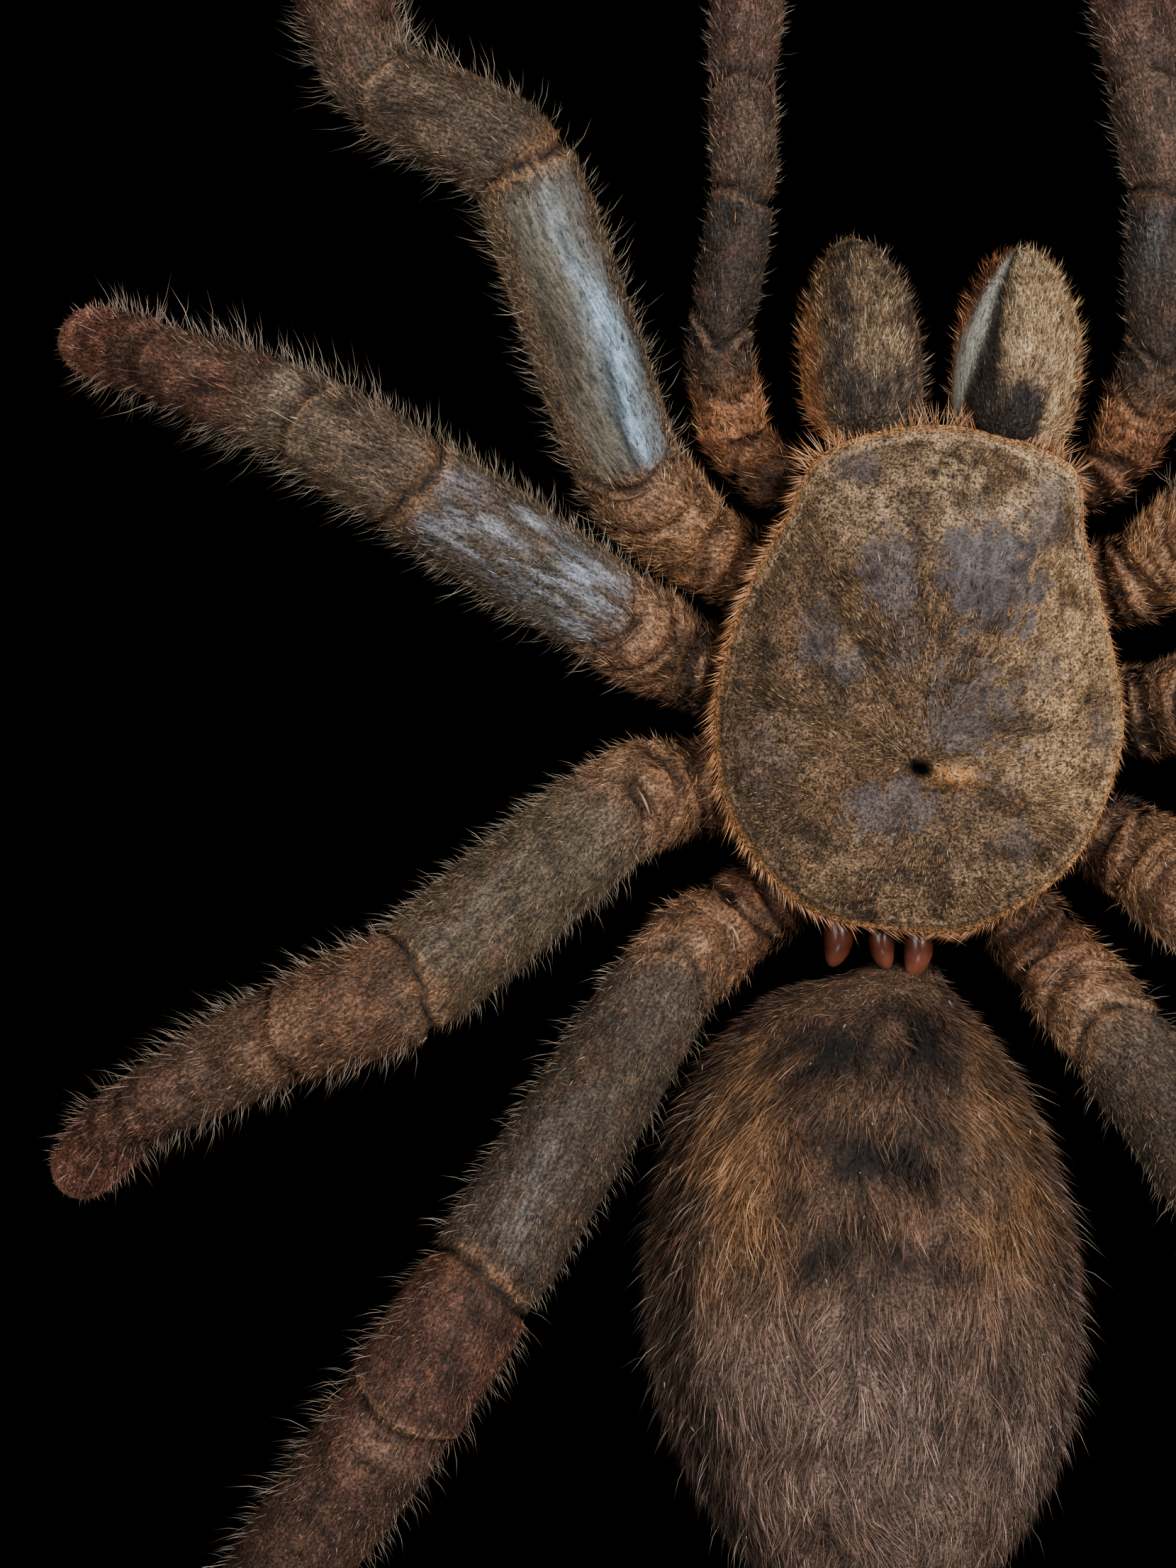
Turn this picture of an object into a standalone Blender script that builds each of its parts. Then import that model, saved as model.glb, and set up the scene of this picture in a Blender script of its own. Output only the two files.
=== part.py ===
# A tarantula specimen in a plain glazed box frame that lies on its back.
# X runs to the right, Y to the top edge of the frame, Z up out of the glass.
# The origin is at the middle of the frame's back. Lengths are in millimetres until they are placed.
import math

import bmesh
import bpy
from mathutils import Vector

MM = 0.001
GAP = 0.3

# Frame, for a glass of the common 5 by 7 inch size
GLASS_WIDTH = 127.0
GLASS_LENGTH = 178.0
GLASS_THICKNESS = 2.0
FACE_WIDTH = 16.0
LIP_OVERLAP = 6.0
LIP_THICKNESS = 4.5
REBATE_PLAY = 0.5
OUTER_ROUND = 1.2
BACK_RECESS = 1.6
BACK_THICKNESS = 2.8
BOARD_THICKNESS = 5.0
SPACER_HEIGHT = 23.0
SPACER_THICKNESS = 3.0

# Heights of the stack, from the back of the frame
BACK_Z = BACK_RECESS
BOARD_Z = BACK_Z + BACK_THICKNESS + GAP
BOARD_TOP = BOARD_Z + BOARD_THICKNESS
SPACER_Z = BOARD_TOP + GAP
GLASS_Z = SPACER_Z + SPACER_HEIGHT + GAP
LIP_Z = GLASS_Z + GLASS_THICKNESS + GAP
FRAME_DEPTH = LIP_Z + LIP_THICKNESS
SIGHT_WIDTH = GLASS_WIDTH - 2 * LIP_OVERLAP
SIGHT_LENGTH = GLASS_LENGTH - 2 * LIP_OVERLAP

# Sawtooth hanger in the recess of the back
HANGER_LENGTH = 40.0
HANGER_WIDTH = 9.0
HANGER_THICKNESS = 0.8
HANGER_TEETH = 9
HANGER_FROM_TOP = 24.0
HANGER_TOOTHED_SHARE = 0.6
HANGER_TOOTH_DEPTH = 0.5

# Head and thorax: the rim of the carapace seen from above, and its heights over the board
RIM_POINTS = [
    (-4.2, 15.6), (1.3, 16.8), (7.3, 15.0), (8.2, 11.3), (9.7, 5.3), (9.9, 1.1), (7.7, -4.1),
    (3.5, -7.1), (0.0, -7.5), (-5.1, -6.4), (-8.7, -2.3), (-9.6, 2.6), (-8.5, 7.9), (-6.3, 12.2),
]
RIM_CENTRE = (0.6, 3.5)
RIM_STEPS = 36
RIM_HEIGHT = 9.8
RIM_FRONT_RISE = 2.2
DOME_HEIGHT = 3.6
HEAD_RISE = 1.5
HEAD_CENTRE = (0.9, 9.6)
HEAD_SPREAD = (4.8, 5.4)
FOVEA_CENTRE = (0.9, 0.0)
FOVEA_DEPTH = 1.1
FOVEA_SPREAD = (1.6, 1.0)
EYES_CENTRE = (2.0, 14.6)
EYES_RISE = 0.5
EYES_SPREAD = (1.4, 1.0)
# Rings of the body under the rim: share of the way to the rim, height
WALL_RINGS = [(0.45, 1.3), (0.62, 2.2), (0.70, 4.6), (0.74, 8.8)]
RIM_UNDER_SHARE = 0.97
RIM_THICKNESS = 0.4
DOME_SHARES = (1.0, 0.94, 0.84, 0.70, 0.54, 0.38, 0.22, 0.1)

# Abdomen: rings from the waist to the tail as (y, middle x, middle z, half width, half height)
ABDOMEN_RINGS = [
    (-6.9, -0.2, 6.0, 1.1, 1.1), (-8.6, -0.5, 6.2, 1.4, 1.3), (-9.6, -1.1, 7.2, 2.4, 2.2),
    (-10.2, -2.2, 8.3, 4.1, 4.2), (-11.7, -2.7, 8.7, 6.0, 5.9), (-14.3, -2.9, 9.0, 7.9, 7.3),
    (-17.3, -2.8, 9.2, 9.3, 8.1), (-21.4, -2.6, 9.4, 10.3, 8.6), (-25.9, -2.4, 9.4, 10.6, 8.7),
    (-30.0, -2.2, 9.2, 10.1, 8.4), (-34.0, -2.0, 8.8, 8.7, 7.6), (-37.5, -1.9, 8.3, 6.4, 6.3),
    (-40.0, -1.8, 7.7, 3.8, 4.3), (-41.2, -1.8, 7.3, 1.9, 2.3),
]
ABDOMEN_SIDES = 26
SPINNERET_LENGTH = 6.6
SPINNERET_RADIUS = 0.8
SPINNERET_SIDES = 8
SPINNERET_FALL = -0.18
SPINNERET_SHAPE = [(0.0, 1.0), (0.5, 0.95), (0.8, 0.75), (0.95, 0.45)]
# Spinnerets: the root, inside the tail, and the lean in x
SPINNERETS = [((-3.1, -39.6, 6.0), -0.22), ((-0.5, -39.6, 6.0), 0.22)]
TAIL_REACH = 0.5

# Chelicerae: (middle x, y of the root, lean of the axis in x, half width, half height)
CHELICERAE = {
    "chelicera_left": (-2.45, 17.3, -0.35, 3.2, 4.1),
    "chelicera_right": (4.75, 16.9, 0.55, 3.4, 4.0),
}
CHELICERA_LENGTH = 8.6
CHELICERA_HEIGHT = 9.6
CHELICERA_DROP = 2.6
CHELICERA_SIDES = 18
CHELICERA_SHAPE = [(0.0, 0.86), (0.2, 0.96), (0.45, 1.0), (0.68, 0.88), (0.85, 0.65), (0.96, 0.34)]

# Legs and palps: joints from root to tip as (x, y, height over the board), and the radius at each joint
LIMBS = {
    "palp_left": {
        "joints": [(-5.6, 13.3, 7.4), (-8.7, 16.2, 8.6), (-9.4, 20.8, 10.2), (-8.2, 27.9, 11.0),
                   (-8.3, 33.7, 9.6), (-7.6, 41.0, 5.6), (-6.8, 48.4, 2.5)],
        "radii": [1.5, 1.8, 1.65, 1.7, 1.75, 1.75, 1.5]},
    "leg_1_left": {
        "joints": [(-6.9, 9.3, 5.6), (-10.7, 11.3, 7.8), (-13.6, 14.3, 9.6), (-18.9, 29.4, 15.0),
                   (-26.0, 33.2, 14.0), (-29.8, 44.2, 9.4), (-31.9, 52.2, 4.4), (-33.0, 58.0, 2.5)],
        "radii": [1.85, 2.4, 2.75, 2.7, 2.4, 2.1, 1.95, 1.6]},
    "leg_2_left": {
        "joints": [(-8.3, 4.5, 5.4), (-11.6, 5.8, 7.6), (-14.2, 7.5, 9.4), (-24.2, 14.0, 15.2),
                   (-29.8, 17.3, 15.0), (-36.6, 20.0, 12.0), (-39.6, 21.0, 6.4), (-39.5, 21.0, 1.9)],
        "radii": [1.85, 2.35, 2.55, 2.65, 2.4, 1.9, 1.65, 1.35]},
    "leg_3_left": {
        "joints": [(-8.4, -0.7, 5.4), (-11.4, -0.5, 7.2), (-13.9, -1.2, 8.6), (-24.2, -9.9, 13.6),
                   (-30.9, -12.6, 13.2), (-37.6, -16.2, 10.4), (-40.0, -18.8, 5.8), (-39.9, -18.7, 1.9)],
        "radii": [1.9, 2.5, 2.8, 3.0, 2.5, 1.85, 1.65, 1.35]},
    "leg_4_left": {
        "joints": [(-5.5, -5.0, 5.6), (-8.9, -7.2, 7.2), (-11.3, -8.9, 8.8), (-20.9, -24.3, 14.2),
                   (-25.0, -30.8, 13.4), (-32.0, -40.6, 8.8), (-37.6, -50.6, 4.4), (-40.2, -56.4, 2.5)],
        "radii": [2.0, 2.4, 2.65, 3.05, 3.1, 2.6, 2.1, 1.6]},
    "palp_right": {
        "joints": [(7.2, 13.3, 7.2), (10.0, 15.4, 8.6), (11.8, 20.0, 10.4), (12.1, 27.9, 11.6),
                   (11.1, 33.7, 10.4), (10.2, 40.4, 6.0), (9.6, 47.9, 2.5)],
        "radii": [1.5, 1.8, 1.9, 2.1, 2.1, 1.9, 1.5]},
    "leg_1_right": {
        "joints": [(7.8, 8.8, 5.6), (11.6, 9.9, 7.8), (14.6, 12.3, 9.6), (21.1, 26.9, 15.0),
                   (28.0, 30.8, 14.0), (32.4, 41.4, 9.4), (34.8, 49.4, 4.4), (36.0, 55.2, 2.5)],
        "radii": [1.85, 2.4, 2.75, 2.7, 2.4, 2.1, 1.95, 1.6]},
    "leg_2_right": {
        "joints": [(9.0, 3.2, 5.4), (12.2, 3.2, 7.6), (15.1, 3.9, 9.4), (26.3, 9.1, 15.2),
                   (32.2, 11.8, 15.0), (39.1, 13.9, 12.0), (42.2, 14.6, 6.4), (42.1, 14.6, 1.9)],
        "radii": [1.85, 2.35, 2.55, 2.65, 2.4, 1.9, 1.65, 1.35]},
    "leg_3_right": {
        "joints": [(8.3, -2.2, 5.4), (11.3, -4.0, 7.2), (14.1, -6.1, 8.6), (23.9, -15.4, 13.6),
                   (30.3, -18.6, 13.2), (36.8, -22.6, 10.4), (39.0, -25.4, 5.8), (38.9, -25.3, 1.9)],
        "radii": [1.9, 2.5, 2.8, 3.0, 2.5, 1.85, 1.65, 1.35]},
    "leg_4_right": {
        "joints": [(4.4, -5.9, 5.6), (6.9, -9.0, 7.2), (9.0, -11.6, 8.8), (19.4, -25.4, 14.2),
                   (23.9, -31.6, 13.4), (31.9, -40.6, 8.8), (38.1, -50.2, 4.4), (41.0, -55.8, 2.5)],
        "radii": [2.0, 2.3, 2.55, 3.05, 3.1, 2.6, 2.1, 1.6]},
}
LIMB_SIDES = 12
CREASE = 0.92
BULGE = 1.05
# Along a limb: how far from a joint the full rings keep, as a share of the segment, and room in a bend
JOINT_CLEAR = 0.12
BEND_ROOM = 1.05
BEND_EXTRA = 0.1
# The tip: where it starts to narrow and by how much, its last ring and its end in radii
TIP_START = 0.6
TIP_NARROW = 0.92
TIP_RING = (0.1, 0.55)
TIP_END = 0.35


def smooth_step(value):
    value = min(1.0, max(0.0, value))
    return value * value * (3.0 - 2.0 * value)


def bump(x, y, centre, half_x, half_y):
    return math.exp(-((x - centre[0]) / half_x) ** 2 - ((y - centre[1]) / half_y) ** 2)


def closed_curve(points, steps):
    """Points on one smooth closed curve through the given ones."""
    found = []
    count = len(points)
    for step in range(steps):
        place = step * count / steps
        start = int(place)
        t = place - start
        a, b, c, d = (Vector(points[(start + k) % count]) for k in (-1, 0, 1, 2))
        found.append(0.5 * (2 * b + (c - a) * t + (2 * a - 5 * b + 4 * c - d) * t * t
                            + (3 * b - a - 3 * c + d) * t * t * t))
    return found


def make_material(name, colour, roughness, metallic=0.0, transmission=0.0):
    material = bpy.data.materials.new(name)
    material.use_nodes = True
    shader = material.node_tree.nodes["Principled BSDF"]
    shader.inputs["Base Color"].default_value = (*colour, 1.0)
    shader.inputs["Roughness"].default_value = roughness
    shader.inputs["Metallic"].default_value = metallic
    shader.inputs["Transmission Weight"].default_value = transmission
    return material


def add_object(name, bm, material, smooth_angle=None):
    """One object for a piece whose bmesh is in millimetres."""
    bmesh.ops.recalc_face_normals(bm, faces=bm.faces)
    bmesh.ops.scale(bm, vec=Vector((MM, MM, MM)), verts=bm.verts)
    mesh = bpy.data.meshes.new(name)
    bm.to_mesh(mesh)
    bm.free()
    mesh.materials.append(material)
    if smooth_angle is not None:
        mesh.shade_smooth()
        mesh.set_sharp_from_angle(angle=math.radians(smooth_angle))
    made = bpy.data.objects.new(name, mesh)
    bpy.context.scene.collection.objects.link(made)
    return made


def add_box(bm, low, high):
    sides = Vector(high) - Vector(low)
    made = bmesh.ops.create_cube(bm, size=1.0)["verts"]
    bmesh.ops.scale(bm, vec=sides, verts=made)
    bmesh.ops.translate(bm, vec=(Vector(low) + Vector(high)) / 2, verts=made)
    return made


def skin_rings(bm, rings, close_start=True, close_end=True):
    """Joins rings of points into a closed skin. A ring of one point is a pole."""
    rows = [[bm.verts.new(point) for point in ring] for ring in rings]
    for low, high in zip(rows, rows[1:]):
        count = max(len(low), len(high))
        for k in range(count):
            n = (k + 1) % count
            if len(high) == 1:
                bm.faces.new((low[k], low[n], high[0]))
            elif len(low) == 1:
                bm.faces.new((low[0], high[n], high[k]))
            else:
                bm.faces.new((low[k], low[n], high[n], high[k]))
    if close_start and len(rows[0]) > 1:
        bm.faces.new(rows[0])
    if close_end and len(rows[-1]) > 1:
        bm.faces.new(rows[-1])
    return [vert for row in rows for vert in row]


# Frame pieces

def frame_rail(name, material, along, side):
    """A mitred rail with a rebate for the glass, spacers, board and back. along is 'x' or 'y'."""
    half_sight = (SIGHT_LENGTH if along == "x" else SIGHT_WIDTH) / 2
    rebate = (GLASS_LENGTH if along == "x" else GLASS_WIDTH) / 2 + REBATE_PLAY
    outer = half_sight + FACE_WIDTH
    other_half_sight = (SIGHT_WIDTH if along == "x" else SIGHT_LENGTH) / 2
    profile = [(rebate, 0.0), (outer - OUTER_ROUND, 0.0), (outer, OUTER_ROUND),
               (outer, FRAME_DEPTH - OUTER_ROUND), (outer - OUTER_ROUND, FRAME_DEPTH),
               (half_sight + OUTER_ROUND, FRAME_DEPTH), (half_sight, FRAME_DEPTH - OUTER_ROUND),
               (half_sight, LIP_Z), (rebate, LIP_Z)]

    def place(out, height, end):
        reach = end * (out - half_sight + other_half_sight - GAP / 2)
        if along == "x":
            return (reach, side * out, height)
        return (side * out, reach, height)

    bm = bmesh.new()
    skin_rings(bm, [[place(out, height, end) for out, height in profile] for end in (-1, 1)])
    return add_object(name, bm, material)


def make_frame(materials):
    frame_rail("rail_top", materials["wood"], "x", 1)
    frame_rail("rail_bottom", materials["wood"], "x", -1)
    frame_rail("rail_left", materials["wood"], "y", -1)
    frame_rail("rail_right", materials["wood"], "y", 1)
    half_x = GLASS_WIDTH / 2
    half_y = GLASS_LENGTH / 2
    sheets = {
        "back_panel": (BACK_Z, BACK_THICKNESS, "hardboard"),
        "backing_board": (BOARD_Z, BOARD_THICKNESS, "board"),
        "glass": (GLASS_Z, GLASS_THICKNESS, "glass"),
    }
    for name, (low, thickness, finish) in sheets.items():
        bm = bmesh.new()
        add_box(bm, (-half_x, -half_y, low), (half_x, half_y, low + thickness))
        add_object(name, bm, materials[finish])
    top = SPACER_Z + SPACER_HEIGHT
    inner_x = half_x - SPACER_THICKNESS
    inner_y = half_y - SPACER_THICKNESS - GAP
    spacers = {
        "spacer_left": ((-half_x, -half_y, SPACER_Z), (-inner_x, half_y, top)),
        "spacer_right": ((inner_x, -half_y, SPACER_Z), (half_x, half_y, top)),
        "spacer_bottom": ((-inner_x + GAP, -half_y, SPACER_Z), (inner_x - GAP, -inner_y, top)),
        "spacer_top": ((-inner_x + GAP, inner_y, SPACER_Z), (inner_x - GAP, half_y, top)),
    }
    for name, (low, high) in spacers.items():
        bm = bmesh.new()
        add_box(bm, low, high)
        add_object(name, bm, materials["board"])


def make_hanger(materials):
    """A toothed steel strip in the recess of the back, which hangs the frame on a nail."""
    top = BACK_Z - GAP
    y = GLASS_LENGTH / 2 - HANGER_FROM_TOP
    half = HANGER_LENGTH / 2
    tooth = HANGER_LENGTH * HANGER_TOOTHED_SHARE / HANGER_TEETH
    outline = [(-half, y), (-half, y + HANGER_WIDTH), (half, y + HANGER_WIDTH), (half, y)]
    start = HANGER_TEETH * tooth / 2
    for k in range(HANGER_TEETH):
        right = start - k * tooth
        outline.append((right, y))
        outline.append((right - tooth / 2, y + tooth * HANGER_TOOTH_DEPTH))
    outline.append((-start, y))
    bm = bmesh.new()
    skin_rings(bm, [[(x, yy, z) for x, yy in outline] for z in (top - HANGER_THICKNESS, top)])
    add_object("hanger", bm, materials["steel"])


# Spider pieces

def rim_height(y):
    return RIM_HEIGHT + RIM_FRONT_RISE * smooth_step((y - 4.0) / 11.0)


def carapace_height(x, y, share):
    """Height over the board of the carapace at a share of the way from its middle to the rim."""
    height = rim_height(y) + DOME_HEIGHT * (1.0 - share ** 2.4) ** 0.8
    height += HEAD_RISE * bump(x, y, HEAD_CENTRE, *HEAD_SPREAD) * (1.0 - share ** 4)
    height -= FOVEA_DEPTH * bump(x, y, FOVEA_CENTRE, *FOVEA_SPREAD)
    height += EYES_RISE * bump(x, y, EYES_CENTRE, *EYES_SPREAD)
    return height


def make_cephalothorax(material):
    rim = closed_curve(RIM_POINTS, RIM_STEPS)
    middle = Vector(RIM_CENTRE)
    rings = []
    for share, height in WALL_RINGS:
        rings.append([(*(middle + (point - middle) * share), height) for point in rim])
    rings.append([(*(middle + (point - middle) * RIM_UNDER_SHARE), rim_height(point.y) - RIM_THICKNESS)
                  for point in rim])
    for share in DOME_SHARES:
        ring = []
        for point in rim:
            x, y = middle + (point - middle) * share
            ring.append((x, y, carapace_height(x, y, share)))
        rings.append(ring)
    rings.append([(middle.x, middle.y, carapace_height(middle.x, middle.y, 0.0))])
    bm = bmesh.new()
    skin_rings(bm, rings)
    bmesh.ops.translate(bm, vec=(0, 0, BOARD_TOP), verts=bm.verts)
    return add_object("cephalothorax", bm, material, 50)


def ellipse_ring(centre, side, up, half_width, half_height, count):
    ring = []
    for k in range(count):
        angle = 2 * math.pi * k / count
        ring.append(centre + side * half_width * math.cos(angle) + up * half_height * math.sin(angle))
    return ring


def make_abdomen(material):
    side, up = Vector((1, 0, 0)), Vector((0, 0, 1))
    rings = []
    for y, x, z, half_width, half_height in ABDOMEN_RINGS:
        rings.append(ellipse_ring(Vector((x, y, z)), side, up, half_width, half_height, ABDOMEN_SIDES))
    last = ABDOMEN_RINGS[-1]
    rings.append([(last[1], last[0] - TAIL_REACH, last[2])])
    bm = bmesh.new()
    skin_rings(bm, rings)
    bmesh.ops.translate(bm, vec=(0, 0, BOARD_TOP), verts=bm.verts)
    abdomen = add_object("abdomen", bm, material, 50)
    for number, ((x, y, z), lean) in enumerate(SPINNERETS):
        root = Vector((x, y, z + BOARD_TOP))
        axis = Vector((lean, -1.0, SPINNERET_FALL)).normalized()
        across = axis.cross(up).normalized()
        over = across.cross(axis)
        rings = []
        for share, size in SPINNERET_SHAPE:
            middle = root + axis * share * SPINNERET_LENGTH
            radius = SPINNERET_RADIUS * size
            rings.append(ellipse_ring(middle, across, over, radius, radius, SPINNERET_SIDES))
        rings.append([root + axis * SPINNERET_LENGTH])
        bm = bmesh.new()
        skin_rings(bm, rings)
        tool = add_object(f"spinneret_tool_{number}", bm, material)
        tool.hide_render = True
        tool.display_type = "WIRE"
        join = abdomen.modifiers.new(f"spinneret_{number}", "BOOLEAN")
        join.operation = "UNION"
        join.solver = "EXACT"
        join.object = tool
    return abdomen


def make_chelicera(name, material):
    middle_x, root_y, lean, half_width, half_height = CHELICERAE[name]
    side, up = Vector((1, 0, 0)), Vector((0, 0, 1))
    rings = []
    for share, size in CHELICERA_SHAPE:
        centre = Vector((middle_x + lean * share, root_y + CHELICERA_LENGTH * share,
                         BOARD_TOP + CHELICERA_HEIGHT - CHELICERA_DROP * share ** 2))
        rings.append(ellipse_ring(centre, side, up, half_width * size, half_height * size,
                                  CHELICERA_SIDES))
    rings.append([Vector((middle_x + lean, root_y + CHELICERA_LENGTH,
                          BOARD_TOP + CHELICERA_HEIGHT - CHELICERA_DROP))])
    bm = bmesh.new()
    skin_rings(bm, rings)
    return add_object(name, bm, material, 50)


def limb_rings(joints, radii):
    """Rings along straight segments, with a narrow ring at each joint and a rounded tip."""
    ups = Vector((0, 0, 1))
    lines = [(b - a).normalized() for a, b in zip(joints, joints[1:])]
    last = len(lines) - 1
    rings = []

    def add(centre, line, radius):
        side = line.cross(ups)
        side = side.normalized() if side.length > 0.2 else Vector((side_before.x, side_before.y, 0))
        over = side.cross(line).normalized()
        rings.append(ellipse_ring(centre, side, over, radius, radius, LIMB_SIDES))
        return side

    side_before = lines[0].cross(ups).normalized()
    side_before = add(joints[0], lines[0], radii[0])
    for k, line in enumerate(lines):
        length = (joints[k + 1] - joints[k]).length
        start_clear = end_clear = JOINT_CLEAR * length
        if k > 0:
            turn = lines[k - 1].angle(line)
            start_clear = max(start_clear, radii[k] * math.tan(turn / 2) * BEND_ROOM + BEND_EXTRA)
        if k < last:
            turn = line.angle(lines[k + 1])
            end_clear = max(end_clear, radii[k + 1] * math.tan(turn / 2) * BEND_ROOM + BEND_EXTRA)
        for place in (start_clear, (start_clear + length - end_clear) / 2, length - end_clear):
            share = place / length
            swell = 1.0 + (BULGE - 1.0) * math.sin(math.pi * share)
            radius = (radii[k] + (radii[k + 1] - radii[k]) * share) * swell
            if k == last and share > TIP_START:
                radius *= TIP_NARROW
            side_before = add(joints[k] + line * place, line, radius)
        if k < last:
            between = (line + lines[k + 1]).normalized()
            side_before = add(joints[k + 1], between, radii[k + 1] * CREASE)
    end, line = joints[-1], lines[-1]
    add(end + line * radii[-1] * TIP_RING[0], line, radii[-1] * TIP_RING[1])
    rings.append([end + line * radii[-1] * TIP_END])
    return rings


def make_limb(name, material):
    shape = LIMBS[name]
    joints = [Vector((x, y, z + BOARD_TOP)) for x, y, z in shape["joints"]]
    bm = bmesh.new()
    skin_rings(bm, limb_rings(joints, shape["radii"]))
    return add_object(name, bm, material, 50)


def main():
    for old in list(bpy.data.objects):
        bpy.data.objects.remove(old)
    materials = {
        "wood": make_material("black_stained_wood", (0.012, 0.011, 0.010), 0.45),
        "hardboard": make_material("hardboard", (0.16, 0.09, 0.05), 0.75),
        "board": make_material("black_mount_board", (0.004, 0.004, 0.004), 0.9),
        "glass": make_material("clear_glass", (0.95, 0.98, 0.97), 0.0, transmission=1.0),
        "steel": make_material("zinc_plated_steel", (0.55, 0.56, 0.57), 0.35, metallic=1.0),
        "shell": make_material("dusty_brown_shell", (0.11, 0.075, 0.045), 0.6),
        "pelt": make_material("brown_bristle_pelt", (0.085, 0.052, 0.036), 0.8),
    }
    make_frame(materials)
    make_hanger(materials)
    make_cephalothorax(materials["shell"])
    make_abdomen(materials["pelt"])
    for name in CHELICERAE:
        make_chelicera(name, materials["pelt"])
    for name in LIMBS:
        make_limb(name, materials["pelt"])


main()
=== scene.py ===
# Looks of a tarantula specimen in a glazed box frame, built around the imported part.
# Sizes are in millimetres until a mesh is placed, and the board's top is the floor that the spider stands on.
import math
from functools import partial

import bmesh
import bpy
import numpy as np
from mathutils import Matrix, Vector


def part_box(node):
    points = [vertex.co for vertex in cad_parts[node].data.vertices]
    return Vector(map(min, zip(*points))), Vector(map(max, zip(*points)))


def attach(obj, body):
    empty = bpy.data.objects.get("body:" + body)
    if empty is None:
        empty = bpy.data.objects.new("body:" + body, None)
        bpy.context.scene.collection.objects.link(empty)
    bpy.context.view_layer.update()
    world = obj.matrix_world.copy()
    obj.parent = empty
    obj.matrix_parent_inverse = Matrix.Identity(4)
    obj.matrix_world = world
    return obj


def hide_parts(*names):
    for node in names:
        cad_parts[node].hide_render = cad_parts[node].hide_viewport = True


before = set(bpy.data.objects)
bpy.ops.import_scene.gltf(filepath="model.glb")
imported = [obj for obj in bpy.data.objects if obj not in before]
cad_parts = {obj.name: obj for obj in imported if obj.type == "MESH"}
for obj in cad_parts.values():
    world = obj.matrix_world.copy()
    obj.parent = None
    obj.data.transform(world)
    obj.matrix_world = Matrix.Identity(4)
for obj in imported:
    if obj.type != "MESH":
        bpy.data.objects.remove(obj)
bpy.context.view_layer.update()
mm = 0.001
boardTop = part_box("backing_board")[1][2] / mm
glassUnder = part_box("glass")[0][2] / mm


# Objects and meshes

def addObject(name, data):
    thing = bpy.data.objects.new(name, data)
    bpy.context.scene.collection.objects.link(thing)
    return thing


def meshFrom(bm, name):
    mesh = bpy.data.meshes.new(name)
    bm.to_mesh(mesh)
    bm.free()
    return mesh


# Camera

cameraPlace = {
    "centre": (-15.66, -0.37, 19.7),  # what the middle of the photograph shows
    "distance": 600.0,
    "pixel": 0.034,                   # one pixel of the photograph on the spider
    "longSide": 2212,
    "sensor": 36.0,
    "clipStart": 0.01,
}


def makeCamera(place):
    data = bpy.data.cameras.new("photographCamera")
    data.sensor_width = place["sensor"]
    data.lens = place["sensor"] * place["distance"] / (place["longSide"] * place["pixel"])
    data.clip_start = place["clipStart"]
    camera = addObject("photographCamera", data)
    x, y, z = place["centre"]
    camera.location = (x * mm, y * mm, (z + place["distance"]) * mm)
    bpy.context.scene.camera = camera


makeCamera(cameraPlace)
print("camera: straight down on the board")


# Colours and nodes

def toLinear(text):
    levels = np.array([int(text[k:k + 2], 16) for k in (1, 3, 5)]) / 255.0
    return np.where(levels <= 0.04045, levels / 12.92, ((levels + 0.055) / 1.055) ** 2.4)


def rgba(text):
    return (*toLinear(text), 1.0)


def setInputs(owner, node, inputs):
    for socket, source in inputs.items():
        if isinstance(source, bpy.types.NodeSocket):
            owner.node_tree.links.new(source, node.inputs[socket])
        else:
            node.inputs[socket].default_value = source


def setShader(material, **inputs):
    shader = material.node_tree.nodes["Principled BSDF"]
    setInputs(material, shader, {socket.replace("_", " "): source for socket, source in inputs.items()})
    return material


def addNode(owner, kind, inputs, output=0, **settings):
    node = owner.node_tree.nodes.new("ShaderNode" + kind)
    for key, value in settings.items():
        setattr(node, key, value)
    setInputs(owner, node, inputs)
    return node.outputs[output]


def startMaterial(name):
    material = bpy.data.materials.new(name)
    material.use_nodes = True
    return material, partial(addNode, material)


def ranges(value, *limits):
    return {"Value": value, **dict(zip(("From Min", "From Max", "To Min", "To Max"), limits))}


def between(share, dark, light):
    return {0: share, 6: rgba(dark), 7: rgba(light)}


# Materials of the spider

def makeBristle():
    # Dry chitin bristles: each has its own tint, darker at the root, with a soft gloss along it
    material, add = startMaterial("chitinBristle")
    tint = add("Attribute", {}, "Color", attribute_name="tint")
    return setShader(material, Base_Color=tint, Roughness=0.45, Specular_IOR_Level=0.45)


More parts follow.
